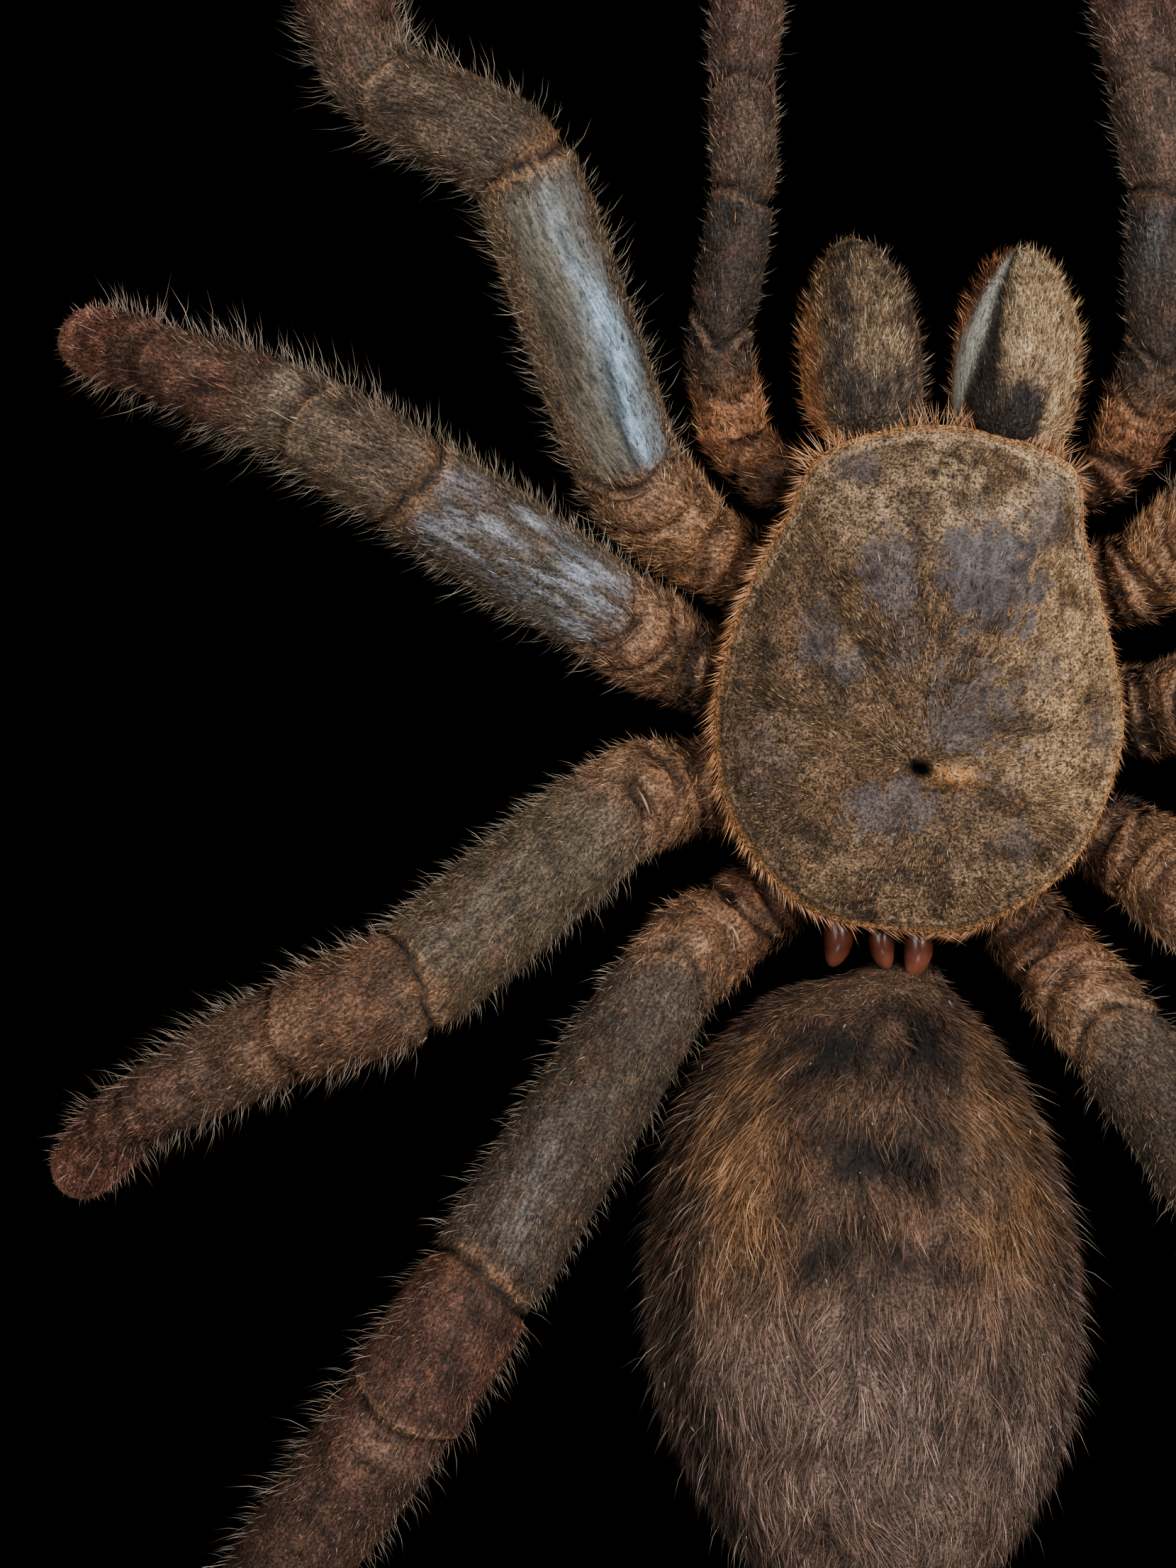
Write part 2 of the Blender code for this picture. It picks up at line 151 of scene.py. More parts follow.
def makeCuticle(name, streak, relief, lineRange, grainRange):
    # Dried cuticle under the pelt: matt, streaked along the way it was combed, glossier where it is bare
    material, add = startMaterial(name)
    tint = add("Attribute", {}, "Color", attribute_name="tint")
    comb = add("Attribute", {}, "Vector", attribute_name="comb")
    gloss = add("Attribute", {}, "Fac", attribute_name="gloss")
    place = add("TexCoord", {}, "Object")
    lines = add("TexNoise", {"Vector": comb, "Scale": 1.0 / streak, "Detail": 4.0, "Roughness": 0.65})
    grain = add("TexNoise", {"Vector": place, "Scale": 1.0 / (relief * mm), "Detail": 3.0,
                             "Roughness": 0.6})
    lineShade = add("MapRange", ranges(lines, 0.33, 0.67, *lineRange))
    grainShade = add("MapRange", ranges(grain, 0.38, 0.7, *grainRange))
    # the specks of the pelt fade out on bare cuticle
    calm = add("Math", {0: gloss, 1: -0.7, 2: 1.0}, operation="MULTIPLY_ADD")
    specks = add("Math", {0: grainShade, 1: calm}, operation="POWER")
    shade = add("Math", {0: lineShade, 1: specks}, operation="MULTIPLY")
    colour = add("VectorMath", {0: tint, "Scale": shade}, operation="SCALE")
    rough = add("MapRange", ranges(gloss, 0.0, 1.0, 0.72, 0.5))
    height = add("Math", {0: lines, 1: grain}, operation="ADD")
    bump = add("Bump", {"Height": height, "Strength": 0.6, "Distance": 0.12 * mm})
    return setShader(material, Base_Color=colour, Roughness=rough, Normal=bump, Specular_IOR_Level=0.25)


bristle = makeBristle()
peltCuticle = makeCuticle("peltCuticle", 0.15, 0.15, (0.35, 1.65), (0.3, 1.8))
shellCuticle = makeCuticle("carapaceCuticle", 0.2, 0.12, (0.45, 1.5), (0.12, 2.15))


# Noise, placing and hair arrays

noiseTable = np.random.default_rng(11).random((32, 32, 32))


def softNoise(points, size):
    place = points / size
    cell = np.floor(place).astype(int)
    part = place - cell
    part = part * part * (3.0 - 2.0 * part)
    total = np.zeros(len(points))
    for corner in np.ndindex(2, 2, 2):
        index = (cell + corner) % 32
        weight = np.prod(np.where(corner, part, 1.0 - part), axis=1)
        total += noiseTable[index[:, 0], index[:, 1], index[:, 2]] * weight
    return total


def unit(vectors):
    return vectors / np.maximum(np.linalg.norm(vectors, axis=1, keepdims=True), 1e-9)


def blob(x, y, centre, halfX, halfY):
    return np.exp(-((x - centre[0]) / halfX) ** 2 - ((y - centre[1]) / halfY) ** 2)


def ramp(value, low, high):
    part = np.clip((value - low) / (high - low), 0.0, 1.0)
    return part * part * (3.0 - 2.0 * part)


def fade(value, low, high):
    return 1.0 - ramp(value, low, high)


def bell(value, half):
    return np.exp(-(value / half) ** 2)


def triples(*parts):
    return np.stack(parts, axis=1)


def onFlat(x, y):
    return triples(x, y, np.zeros(len(x)))


def alongPalette(value, stops):
    places = [place for place, text in stops]
    colours = np.array([toLinear(text) for place, text in stops])
    return triples(*(np.interp(value, places, colours[:, k]) for k in range(3)))


def evenly(text, count):
    return np.tile(toLinear(text), (count, 1))


def blend(under, text, share):
    return under + (toLinear(text) - under) * share[:, None]


def paint(under, *coats):
    # a coat is a colour and its share at each place, or None and a factor that lightens or darkens
    for text, share in coats:
        under = blend(under, text, share) if text else under * share[:, None]
    return under


def wrapGrid(name, rows, columns):
    bm = bmesh.new()
    bmesh.ops.create_grid(bm, x_segments=columns, y_segments=rows, size=0.5)
    mesh = meshFrom(bm, name)
    flat = np.empty(len(mesh.vertices) * 3)
    mesh.vertices.foreach_get("co", flat)
    flat = flat.reshape(-1, 3) + 0.5
    return mesh, flat[:, 0], flat[:, 1]


def setAttribute(mesh, name, kind, values):
    layer = mesh.attributes.new(name, kind, "POINT")
    key = {"FLOAT_COLOR": "color", "FLOAT_VECTOR": "vector", "FLOAT": "value"}[kind]
    layer.data.foreach_set(key, np.ascontiguousarray(values, dtype=np.float32).ravel())


def withAlpha(colours):
    return np.concatenate([np.clip(colours, 0.0, 1.0), np.ones((len(colours), 1))], axis=1)


def addPiece(mesh, material, node=None):
    mesh.materials.append(material)
    piece = addObject(mesh.name, mesh)
    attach(piece, "root")
    if node:
        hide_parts(node)


def finishSkin(mesh, points, tint, comb, gloss, material, node=None):
    mesh.vertices.foreach_set("co", (points * mm).ravel())
    setAttribute(mesh, "tint", "FLOAT_COLOR", withAlpha(tint))
    setAttribute(mesh, "comb", "FLOAT_VECTOR", comb)
    setAttribute(mesh, "gloss", "FLOAT", gloss)
    bm = bmesh.new()
    bm.from_mesh(mesh)
    bmesh.ops.remove_doubles(bm, verts=bm.verts, dist=0.002 * mm)
    bmesh.ops.recalc_face_normals(bm, faces=bm.faces)
    bm.to_mesh(mesh)
    bm.free()
    mesh.shade_smooth()
    addPiece(mesh, material, node)


hairShapes = {
    "straight": {"rings": 1, "faces": [(0, 1, 3), (1, 2, 3), (2, 0, 3), (0, 2, 1)]},
    "bent": {"rings": 2, "faces": [(0, 1, 4), (0, 4, 3), (1, 2, 5), (1, 5, 4), (2, 0, 3), (2, 3, 5),
                                   (3, 4, 6), (4, 5, 6), (5, 3, 6), (0, 2, 1)]},
}
hairFinish = {
    "rings": [(1.0, 0.55), (0.72, 1.0)],    # width and shade at the root and in the middle
    "sunk": 0.12, "tipShade": 1.2,
    "offBoard": 0.15, "offGlass": 0.3, "rootOffBoard": 0.1,
}


def hairArrays(kind, roots, lower, upper, lengths, widths, tints):
    shape = hairShapes[kind]
    aside = unit(np.cross(lower, np.where(np.abs(lower[:, 2:]) > 0.8, [[1.0, 0.0, 0.0]], [[0.0, 0.0, 1.0]])))
    over = np.cross(lower, aside)
    middle = roots + lower * (lengths * 0.5)[:, None]
    tips = middle + (upper if kind == "bent" else lower) * (lengths * 0.5)[:, None]
    corners, shades = [], []
    centres = [roots - lower * hairFinish["sunk"], middle]
    for centre, (width, shade) in list(zip(centres, hairFinish["rings"]))[:shape["rings"]]:
        for turn in (0.0, 2.0 * math.pi / 3, 4.0 * math.pi / 3):
            reach = aside * math.cos(turn) + over * math.sin(turn)
            corners.append(centre + reach * (widths * width / 2)[:, None])
            shades.append(tints * shade)
    corners.append(tips)
    shades.append(tints * hairFinish["tipShade"])
    faces = np.array(shape["faces"])[None] + (np.arange(len(roots)) * len(corners))[:, None, None]
    return triples(*corners).reshape(-1, 3), triples(*shades).reshape(-1, 3), faces.reshape(-1, 3)


def addHairs(name, groups):
    # a group is its kind, then an array each of roots, lower and upper ways, lengths, widths and tints
    points, colours, faces = [], [], []
    start = 0
    for kind, *arrays in groups:
        roots, lower, upper, lengths = arrays[:4]
        tips = roots + (lower + upper) * (lengths * 0.5)[:, None]
        keep = tips[:, 2] > boardTop + hairFinish["offBoard"]
        keep &= tips[:, 2] < glassUnder - hairFinish["offGlass"]
        keep &= roots[:, 2] > boardTop + hairFinish["rootOffBoard"]
        made = hairArrays(kind, *(array[keep] for array in arrays))
        points.append(made[0])
        colours.append(made[1])
        faces.append(made[2] + start)
        start += len(made[0])
    points = np.concatenate(points) * mm
    faces = np.concatenate(faces)
    mesh = bpy.data.meshes.new(name)
    mesh.vertices.add(len(points))
    mesh.vertices.foreach_set("co", points.ravel())
    mesh.loops.add(len(faces) * 3)
    mesh.loops.foreach_set("vertex_index", faces.ravel())
    mesh.polygons.add(len(faces))
    mesh.polygons.foreach_set("loop_start", np.arange(len(faces)) * 3)
    mesh.update(calc_edges=True)
    setAttribute(mesh, "tint", "FLOAT_COLOR", withAlpha(np.concatenate(colours)))
    print(f"{name}: {len(faces)} triangles")
    addPiece(mesh, bristle)


# Tubes: a body part that follows a middle line, with an ellipse round it at each place

def makeTube(centres, halfWidths, halfHeights, runs, fixedFrame=False):
    centres = np.array(centres, float)
    lines = unit(np.gradient(centres, axis=0))
    sides = np.zeros_like(centres)
    side = np.array([1.0, 0.0, 0.0])
    for k, line in enumerate(lines):
        across = np.cross(line, (0.0, 0.0, 1.0))
        if fixedFrame:
            across = np.array([1.0, 0.0, 0.0])
        if np.linalg.norm(across) > 0.35:
            side = across / np.linalg.norm(across)
        flat = side - line * np.dot(side, line) * (not fixedFrame)
        sides[k] = flat / np.linalg.norm(flat)
    overs = np.tile([0.0, 0.0, 1.0], (len(centres), 1)) if fixedFrame else np.cross(sides, lines)
    steps = np.linalg.norm(np.diff(centres, axis=0), axis=1)
    arc = np.concatenate([[0.0], np.cumsum(np.maximum(steps, 1e-6))])
    slope = np.clip(np.gradient(np.array(halfWidths, float), arc), -3.0, 3.0)
    return {"slope": slope[:, None], "centre": centres, "line": lines, "side": sides, "over": unit(overs),
            "width": np.array(halfWidths, float)[:, None], "height": np.array(halfHeights, float)[:, None],
            "run": np.array(runs, float)[:, None], "arc": arc}


def onTube(tube, arc, turn):
    def at(key):
        values = tube[key]
        return triples(*(np.interp(arc, tube["arc"], values[:, k]) for k in range(values.shape[1])))

    side, over = unit(at("side")), unit(at("over"))
    cosine, sine = np.cos(turn)[:, None], np.sin(turn)[:, None]
    width, height, line = at("width"), at("height"), unit(at("line"))
    radial = unit(side * cosine * height + over * sine * width + 1e-9)
    return {"point": at("centre") + side * cosine * width + over * sine * height,
            "normal": unit(radial - line * at("slope")), "line": line, "side": side,
            "across": cosine[:, 0], "up": sine[:, 0],
            "run": at("run")[:, 0], "arc": arc, "turn": turn, "radius": width[:, 0]}


def tubeSkin(name, tube, rows, columns):
    mesh, turn, along = wrapGrid(name, rows, columns)
    return mesh, onTube(tube, along * tube["arc"][-1], turn * 2 * math.pi)


def scatterOnTube(tube, count, rng, density):
    places = np.linspace(0, 1, 2000)
    widths = np.interp(places, tube["arc"] / tube["arc"][-1], tube["width"][:, 0])
    sums = np.cumsum(widths * np.hypot(tube["arc"][-1] / 2000, np.gradient(widths)))
    found = []
    total = 0
    while total < count:
        arc = np.interp(rng.random(count), sums / sums[-1], places) * tube["arc"][-1]
        spots = onTube(tube, arc, rng.random(count) * 2 * math.pi)
        keep = rng.random(count) < density(spots)
        found.append({key: value[keep] for key, value in spots.items()})
        total += int(keep.sum())
    return {key: np.concatenate([part[key] for part in found])[:count] for key in found[0]}


def combed(spots, tilt, jitter, rng, bend=0.0):
    lean = np.cos(tilt)[:, None]
    rise = np.sin(tilt)[:, None]
    line = spots["line"] + spots["sway"] if "sway" in spots else spots["line"]
    line = unit(line - spots["normal"] * np.sum(line * spots["normal"], axis=1, keepdims=True))
    wander = rng.normal(0, 1, spots["point"].shape) * jitter
    lower = unit(line * lean + spots["normal"] * rise + wander)
    upper = unit(lower + line * bend)
    return lower, upper


def combSpace(spots, offset, slant=0.0):
    aside = np.cos(spots["turn"]) * spots["radius"] + spots["arc"] * slant
    return triples(aside + offset, np.sin(spots["turn"]) * spots["radius"], spots["arc"] * 0.2)


# Legs and palps: joints as (x, y, height over the board) and radii, as in the part, the longest bristle,
# how bare the femur is, and the place of the swollen lobe

legKinds = {
    1: {"radii": [1.85, 2.4, 2.75, 2.7, 2.4, 2.1, 1.95, 1.6], "longest": 3.1, "bare": 1.0, "lobe": 1.95},
    2: {"radii": [1.85, 2.35, 2.55, 2.65, 2.4, 1.9, 1.65, 1.35], "longest": 3.2, "bare": 1.0, "lobe": 1.98},
    3: {"radii": [1.9, 2.5, 2.8, 3.0, 2.5, 1.85, 1.65, 1.35], "longest": 2.6, "bare": 0.2, "lobe": 2.0},
}
limbs = {
    "palp_left": {
        "joints": [(-5.6, 13.3, 7.4), (-8.7, 16.2, 8.6), (-9.4, 20.8, 10.2), (-8.2, 27.9, 11.0),
                   (-8.3, 33.7, 9.6), (-7.6, 41.0, 5.6), (-6.8, 48.4, 2.5)],
        "radii": [1.5, 1.8, 1.65, 1.7, 1.75, 1.75, 1.5], "longest": 1.4, "bare": 0.0, "lobe": 1.9},
    "leg_1_left": {
        "joints": [(-6.9, 9.3, 5.6), (-10.7, 11.3, 7.8), (-13.6, 14.3, 9.6), (-18.9, 29.4, 15.0),
                   (-26.0, 33.2, 14.0), (-29.8, 44.2, 9.4), (-31.9, 52.2, 4.4), (-33.0, 58.0, 2.5)],
        **legKinds[1]},
    "leg_2_left": {
        "joints": [(-8.3, 4.5, 5.4), (-11.6, 5.8, 7.6), (-14.2, 7.5, 9.4), (-24.2, 14.0, 15.2),
                   (-29.8, 17.3, 15.0), (-36.6, 20.0, 12.0), (-39.6, 21.0, 6.4), (-39.5, 21.0, 1.9)],
        **legKinds[2]},
    "leg_3_left": {
        "joints": [(-8.4, -0.7, 5.4), (-11.4, -0.5, 7.2), (-13.9, -1.2, 8.6), (-24.2, -9.9, 13.6),
                   (-30.9, -12.6, 13.2), (-37.6, -16.2, 10.4), (-40.0, -18.8, 5.8), (-39.9, -18.7, 1.9)],
        **legKinds[3]},
    "leg_4_left": {
        "joints": [(-5.5, -5.0, 5.6), (-8.9, -7.2, 7.2), (-11.3, -8.9, 8.8), (-20.9, -24.3, 14.2),
                   (-25.0, -30.8, 13.4), (-32.0, -40.6, 8.8), (-37.6, -50.6, 4.4), (-40.2, -56.4, 2.5)],
        "radii": [2.0, 2.4, 2.65, 3.05, 3.1, 2.6, 2.1, 1.6], "longest": 2.7, "bare": 0.22, "lobe": 1.38},
    "palp_right": {
        "joints": [(7.2, 13.3, 7.2), (10.0, 15.4, 8.6), (11.8, 20.0, 10.4), (12.1, 27.9, 11.6),
                   (11.1, 33.7, 10.4), (10.2, 40.4, 6.0), (9.6, 47.9, 2.5)],
        "radii": [1.5, 1.8, 1.9, 2.1, 2.1, 1.9, 1.5], "longest": 1.7, "bare": 0.25, "lobe": 1.9},
    "leg_1_right": {
        "joints": [(7.8, 8.8, 5.6), (11.6, 9.9, 7.8), (14.6, 12.3, 9.6), (21.1, 26.9, 15.0),
                   (28.0, 30.8, 14.0), (32.4, 41.4, 9.4), (34.8, 49.4, 4.4), (36.0, 55.2, 2.5)],
        **legKinds[1]},
    "leg_2_right": {
        "joints": [(9.0, 3.2, 5.4), (12.2, 3.2, 7.6), (15.1, 3.9, 9.4), (26.3, 9.1, 15.2),
                   (32.2, 11.8, 15.0), (39.1, 13.9, 12.0), (42.2, 14.6, 6.4), (42.1, 14.6, 1.9)],
        **legKinds[2]},
    "leg_3_right": {
        "joints": [(8.3, -2.2, 5.4), (11.3, -4.0, 7.2), (14.1, -6.1, 8.6), (23.9, -15.4, 13.6),
                   (30.3, -18.6, 13.2), (36.8, -22.6, 10.4), (39.0, -25.4, 5.8), (38.9, -25.3, 1.9)],
        **legKinds[3]},
    "leg_4_right": {
        "joints": [(4.4, -5.9, 5.6), (6.9, -9.0, 7.2), (9.0, -11.6, 8.8), (19.4, -25.4, 14.2),
                   (23.9, -31.6, 13.4), (31.9, -40.6, 8.8), (38.1, -50.2, 4.4), (41.0, -55.8, 2.5)],
        "radii": [2.0, 2.3, 2.55, 3.05, 3.1, 2.6, 2.1, 1.6], "longest": 2.7, "bare": 0.22, "lobe": 1.38},
}
limbFinish = {
    "furDepth": 0.24,    # the pelt's tips reach the solid's surface
    "step": 0.4, "columns": 48,
    "bend": 0.12,        # least share of a segment that the bend at each end takes up
    "bendSteps": 9, "bulge": 0.05, "waist": 0.07, "blunt": 0.3, "rootReach": 1.2,
    "fuzz": 12500, "fuzzWidth": 0.05,
    "bristles": 1300, "bristleWidth": 0.033,
    "crescentHairs": 18,
    "palpShare": 0.42,   # of the hairs of a leg
    "femur": [(2.02, 2.12), (2.88, 2.98)],    # where bare cuticle starts and ends along the joints
    # the pale blue streak on femur I, a painted highlight along its smooth cuticle, along the joints: its
    # middle, half width and strength
    "streak": [([2.05, 2.25, 2.43, 2.6, 2.8], [0.36, 0.36, 0.5, 0.48, 0.2]),
               ([2.05, 2.25, 2.45, 2.6, 2.8, 2.95], [0.05, 0.14, 0.16, 0.16, 0.24, 0.4]),
               ([2.05, 2.15, 2.5, 2.62, 2.75, 2.97], [0.4, 0.9, 1.0, 0.5, 0.15, 0.0])],
    # seams and folds: place along the joints, slant, bow, depth, half width, darkness, pale lip
    "folds": [(0.62, 0.2, -0.6, 0.3, 0.3, 0.35, 0.3), (1.0, -0.5, -0.9, 0.4, 0.28, 0.6, 0.6),
              (1.5, 0.4, 0.7, 0.2, 0.16, 0.3, 0.6), (1.98, 0.2, 1.3, 0.4, 0.17, 0.7, 0.8),
              (3.0, 0.3, 0.0, 0.35, 0.12, 1.0, 0.5), (3.97, 0.1, -0.7, 0.3, 0.25, 0.3, 0.6),
              (5.0, 0.1, -0.3, 0.15, 0.3, 0.2, 0.3)],
    "lobeFold": (0.1, 0.5, 0.3, 0.12, 0.0, 0.0),    # the same for the pale crescent by the swollen lobe
    "legStops": [(0.0, "#3d2417"), (0.7, "#7a5033"), (1.2, "#a87852"), (1.6, "#a3744f"), (2.0, "#ac8160"),
                 (2.12, "#876c55"), (2.3, "#79664f"), (2.9, "#79634b"), (3.0, "#8a6344"), (3.1, "#7c6552"),
                 (3.9, "#7e6651"), (4.05, "#8f7862"), (4.2, "#7d5d4b"), (5.0, "#7f5947"), (5.4, "#905e4c"),
                 (6.0, "#bd8069"), (7.2, "#cf9a86")],
    "hindStops": [(0.0, "#3d2417"), (0.7, "#744a2e"), (1.2, "#9a6a48"), (1.6, "#a0714f"), (2.0, "#a87c5a"),
                  (2.12, "#6f5a4a"), (2.3, "#61503f"), (2.9, "#665343"), (3.0, "#7d5539"), (3.1, "#6e4939"),
                  (3.9, "#6f4b3b"), (4.05, "#7b5a48"), (4.2, "#67493a"), (5.0, "#694939"), (6.0, "#7c4836"),
                  (7.2, "#8c5240")],
    "palpStops": [(0.0, "#3d2417"), (0.7, "#744a2e"), (1.15, "#b87a50"), (1.5, "#a06a45"), (1.78, "#523e2f"),
                  (2.9, "#4d4138"), (3.0, "#6b503b"), (3.1, "#6a5343"), (4.0, "#75594a"), (4.3, "#78584a"),
                  (5.0, "#764f41"), (6.3, "#8f5746")],
}


def limbTube(joints, radii, finish):
    points = [np.array(joint) + (0.0, 0.0, boardTop) for joint in joints]
    legs = [b - a for a, b in zip(points, points[1:])]
    lengths = [np.linalg.norm(leg) for leg in legs]
    lines = [leg / length for leg, length in zip(legs, lengths)]
    last = len(lines) - 1
    turns = [math.acos(max(-1.0, min(1.0, float(np.dot(a, b))))) for a, b in zip(lines, lines[1:])]
    clears = [radius * math.tan(turn / 2) * 1.05 + 0.1 for radius, turn in zip(radii[1:], turns)]
    centres, sizes, runs = [], [], []

    def add(centre, size, run):
        centres.append(centre)
        sizes.append(size)
        runs.append(run)

    for k, line in enumerate(lines):
        length = lengths[k]
        start = max(finish["bend"] * length, clears[k - 1]) if k else 0.0
        stop = length + finish["blunt"] * radii[-1]
        if k < last:
            stop = length - max(finish["bend"] * length, clears[k])
        count = max(3, int((stop - start) / finish["step"]))
        for place in np.linspace(start, stop, count):
            share = place / length
            inside = min(share, 1.0)
            size = radii[k] + (radii[k + 1] - radii[k]) * inside
            size *= 1.0 + finish["bulge"] * math.sin(math.pi * inside)
            if k == last:
                blunt = (place - length + radii[-1]) / ((1.0 + finish["blunt"]) * radii[-1])
                size *= math.sqrt(max(0.0, 1.0 - max(0.0, blunt) ** 2))
            if k == 0:
                size *= math.sqrt(min(1.0, place / finish["rootReach"]))
            add(points[k] + line * place, size, k + share)
        if k < last:
            nextStart = max(finish["bend"] * lengths[k + 1], clears[k])
            first, joint = points[k] + line * stop, points[k + 1]
            second = joint + lines[k + 1] * nextStart
            sizeIn, sizeOut = sizes[-1], radii[k + 1] * 1.02
            for t in np.linspace(0.0, 1.0, finish["bendSteps"])[1:-1]:
                weights = np.array([(1 - t) ** 2, 4.0 * t * (1 - t), t ** 2])
                centre = (first * weights[0] + joint * weights[1] + second * weights[2]) / weights.sum()
                size = sizeIn + (sizeOut - sizeIn) * t
                size *= 1.0 - finish["waist"] * math.sin(math.pi * t) ** 2
                run = k + stop / length + (1.0 - stop / length) * min(1.0, 2 * t)
                run += max(0.0, 2 * t - 1) * nextStart / lengths[k + 1]
                add(centre, size, run)
    depth = finish["furDepth"] * (1.0 - 0.8 * ramp(np.array(runs), last - 1.2, last - 0.4))
    sizes = np.maximum(np.array(sizes) - depth * np.minimum(1.0, np.array(sizes)), 0.0)
    return makeTube(centres, sizes, sizes, runs)


def handOf(name):
    return 1.0 if name.endswith("left") else -1.0


def lobeShare(name, spots):
    gap = spots["foldGaps"][:, -1]
    side = spots["across"] + 0.15 * handOf(name)
    lobe = ramp(gap, -1.9, -1.2) * fade(gap, -0.35, 0.0) * fade(np.abs(side), 0.3, 0.7)
    return lobe * ramp(spots["up"], 0.0, 0.4) * (0.3 if name.startswith("palp") else 1.0)


def limbColours(name, limb, spots, finish):
    run, up = spots["run"], spots["up"]
    inner = spots["across"] * handOf(name)
    isPalp = name.startswith("palp")
    kind = "palpStops" if isPalp else "hindStops" if "leg_4" in name else "legStops"
    broad = softNoise(spots["point"], 2.6)
    fine = softNoise(spots["point"], 0.5)
    cloud = softNoise(spots["point"] + 31.0, 1.1)
    lines = softNoise(combSpace(spots, 5.0) * (1.0, 1.0, 0.7), 0.24)
    folded = fade(run, 1.95, 2.15)
    colours = paint(
        alongPalette(run + (broad - 0.5) * 0.14, finish[kind]),
        ("#63392a", ramp(broad, 0.55, 0.85) * 0.5 * ramp(run, 3.2, 4.8)),
        (None, 1.0 + folded * (1.3 * cloud - 0.65)),
        ("#9a5a41", ramp(softNoise(spots["point"] + 77.0, 1.0), 0.55, 0.8) * 0.15))
    if "leg_3" in name:
        colours = blend(colours, "#8c5a3c", ramp(run, 3.0, 3.2) * fade(run, 4.0, 4.4) * 0.6)
    if "leg_1" in name:
        colours = colours * (1.35 - 0.35 * ramp(run, 1.6, 2.0))[:, None]
    if "leg_2" in name:
        # painted shade: leg II darker at its coxa and trochanter, next to the body
        colours = colours * (1.0 - 0.5 * fade(run, 1.0, 1.8))[:, None]
    lobe = lobeShare(name, spots)
    gap = spots["foldGaps"][:, -1]
    side = fade(np.abs(spots["across"] + 0.2 * handOf(name)), 0.3, 0.55)
    colours = paint(
        colours,
        (None, 0.64 + 0.36 * ramp(run, 4.6, 6.0)),
        (None, 0.45 + 0.6 * fine + 0.5 * lines),
        (None, 1.0 + 1.1 * (cloud - 0.5) * ramp(run, 2.9, 3.1)),
        ("#8f6247", lobe * 0.5),
        ("#2c130c", bell(gap - 0.3, 0.16) * side * ramp(up, 0.1, 0.5) * 0.7),
        ("#2c130c", bell(gap + 2.0 - 0.9 * spots["across"] ** 2, 0.2) * ramp(up, 0.0, 0.4) * 0.6))
    for gap, depth, half, dark, pale in foldShapes(spots, finish):
        lip = bell(gap + half + 0.14, 0.16) * pale * ramp(up, -0.2, 0.3) * ramp(cloud, 0.2, 0.6)
        lip = lip * (0.4 if isPalp else 1.0)
        colours = paint(colours, ("#c99a78", lip * 0.75), ("#0d0705", bell(gap, half) * dark))
    onFemur = ramp(run, *finish["femur"][0]) * fade(run, *finish["femur"][1]) * ramp(up, -0.2, 0.1)
    if "leg_1" in name:
        # smooth olive-grey cuticle with a blue-grey side and a painted highlight streak down it, split by a
        # slit at the root
        bare = onFemur * fade(np.abs(inner - 0.1 + (cloud - 0.5) * 0.2), 0.62, 0.86)
        olive = blob(run, inner + (cloud - 0.5) * 0.3, (2.5, -0.4), 0.26, 0.24)
        middle, half, strength = (np.interp(run, *stops) for stops in finish["streak"])
        # painted highlight: the pale blue streak stands for light reflected along the smooth bare cuticle
        streak = bell(inner - middle, half) * strength * (0.6 + 0.5 * ramp(lines, 0.25, 0.6))
        slit = bell(inner - 0.1 - (run - 2.05) * 0.45, 0.09) * fade(run, 2.36, 2.5)
        cuticle = paint(
            evenly("#645c4f", len(run)),
            ("#6f7376", ramp(inner + (broad - 0.5) * 0.5, -0.15, 0.35) * 0.9),
            ("#3f3427", olive * 0.85),
            ("#a5c0d6", np.minimum(streak, 1.0)),
            (None, 0.6 + 0.75 * lines),
            ("#5f544b", ramp(run, 2.45, 2.75) * ramp(inner, 0.2, 0.5) * 0.75),
            ("#121316", slit * 0.9))
        colours = blend(colours, "#8b7058", onFemur * ramp(-inner, 0.4, 0.7) * 0.75)
    elif "leg_2" in name:
        bare = onFemur * fade(np.abs(inner), 0.6, 1.0) * (0.25 + 0.75 * ramp(lines, 0.25, 0.6))
        bare = bare * (0.5 + 0.4 * ramp(broad, 0.3, 0.6))
        # blue-grey bare cuticle whose paler lines along the fibres are partly a painted sheen
        cuticle = blend(evenly("#63666d", len(run)), "#a4a9b6", ramp(lines, 0.45, 0.8))
    else:
        bare = onFemur * fade(np.abs(inner - 0.2), 0.3, 0.8) * ramp(run, 2.35, 2.7)
        bare = bare * ramp(lines, 0.3, 0.7)
        cuticle = evenly("#7f7c7c", len(run))
    bare = bare * limb["bare"]
    return colours + (cuticle - colours) * bare[:, None], bare


def withFolds(spots, tube, finish):
    # each fold's distance along the limb, at each spot
    gaps = []
    for place, slant, bow, *shape in finish["folds"]:
        start = np.interp(place, tube["run"][:, 0], tube["arc"])
        gaps.append(spots["arc"] - start + slant * spots["across"] - bow * spots["across"] ** 2)
    spots["foldGaps"] = triples(*gaps)
    return spots


def foldShapes(spots, finish):
    # each fold's distance from the spots, then its depth, half width, darkness and pale lip
    for number, (place, slant, bow, *shape) in enumerate(finish["folds"]):
        yield (spots["foldGaps"][:, number], *shape)


def furCover(spots, bare, finish):
    # how much pelt stands at each place: little on bare cuticle and none in the folds
    cover = 1.0 - 0.85 * bare
    for gap, depth, half, dark, pale in foldShapes(spots, finish):
        cover = cover * (1.0 - 0.95 * dark * bell(gap, half + 0.06))
        cover = cover * (1.0 - 0.7 * pale * bell(gap + half + 0.14, 0.18))
    return cover


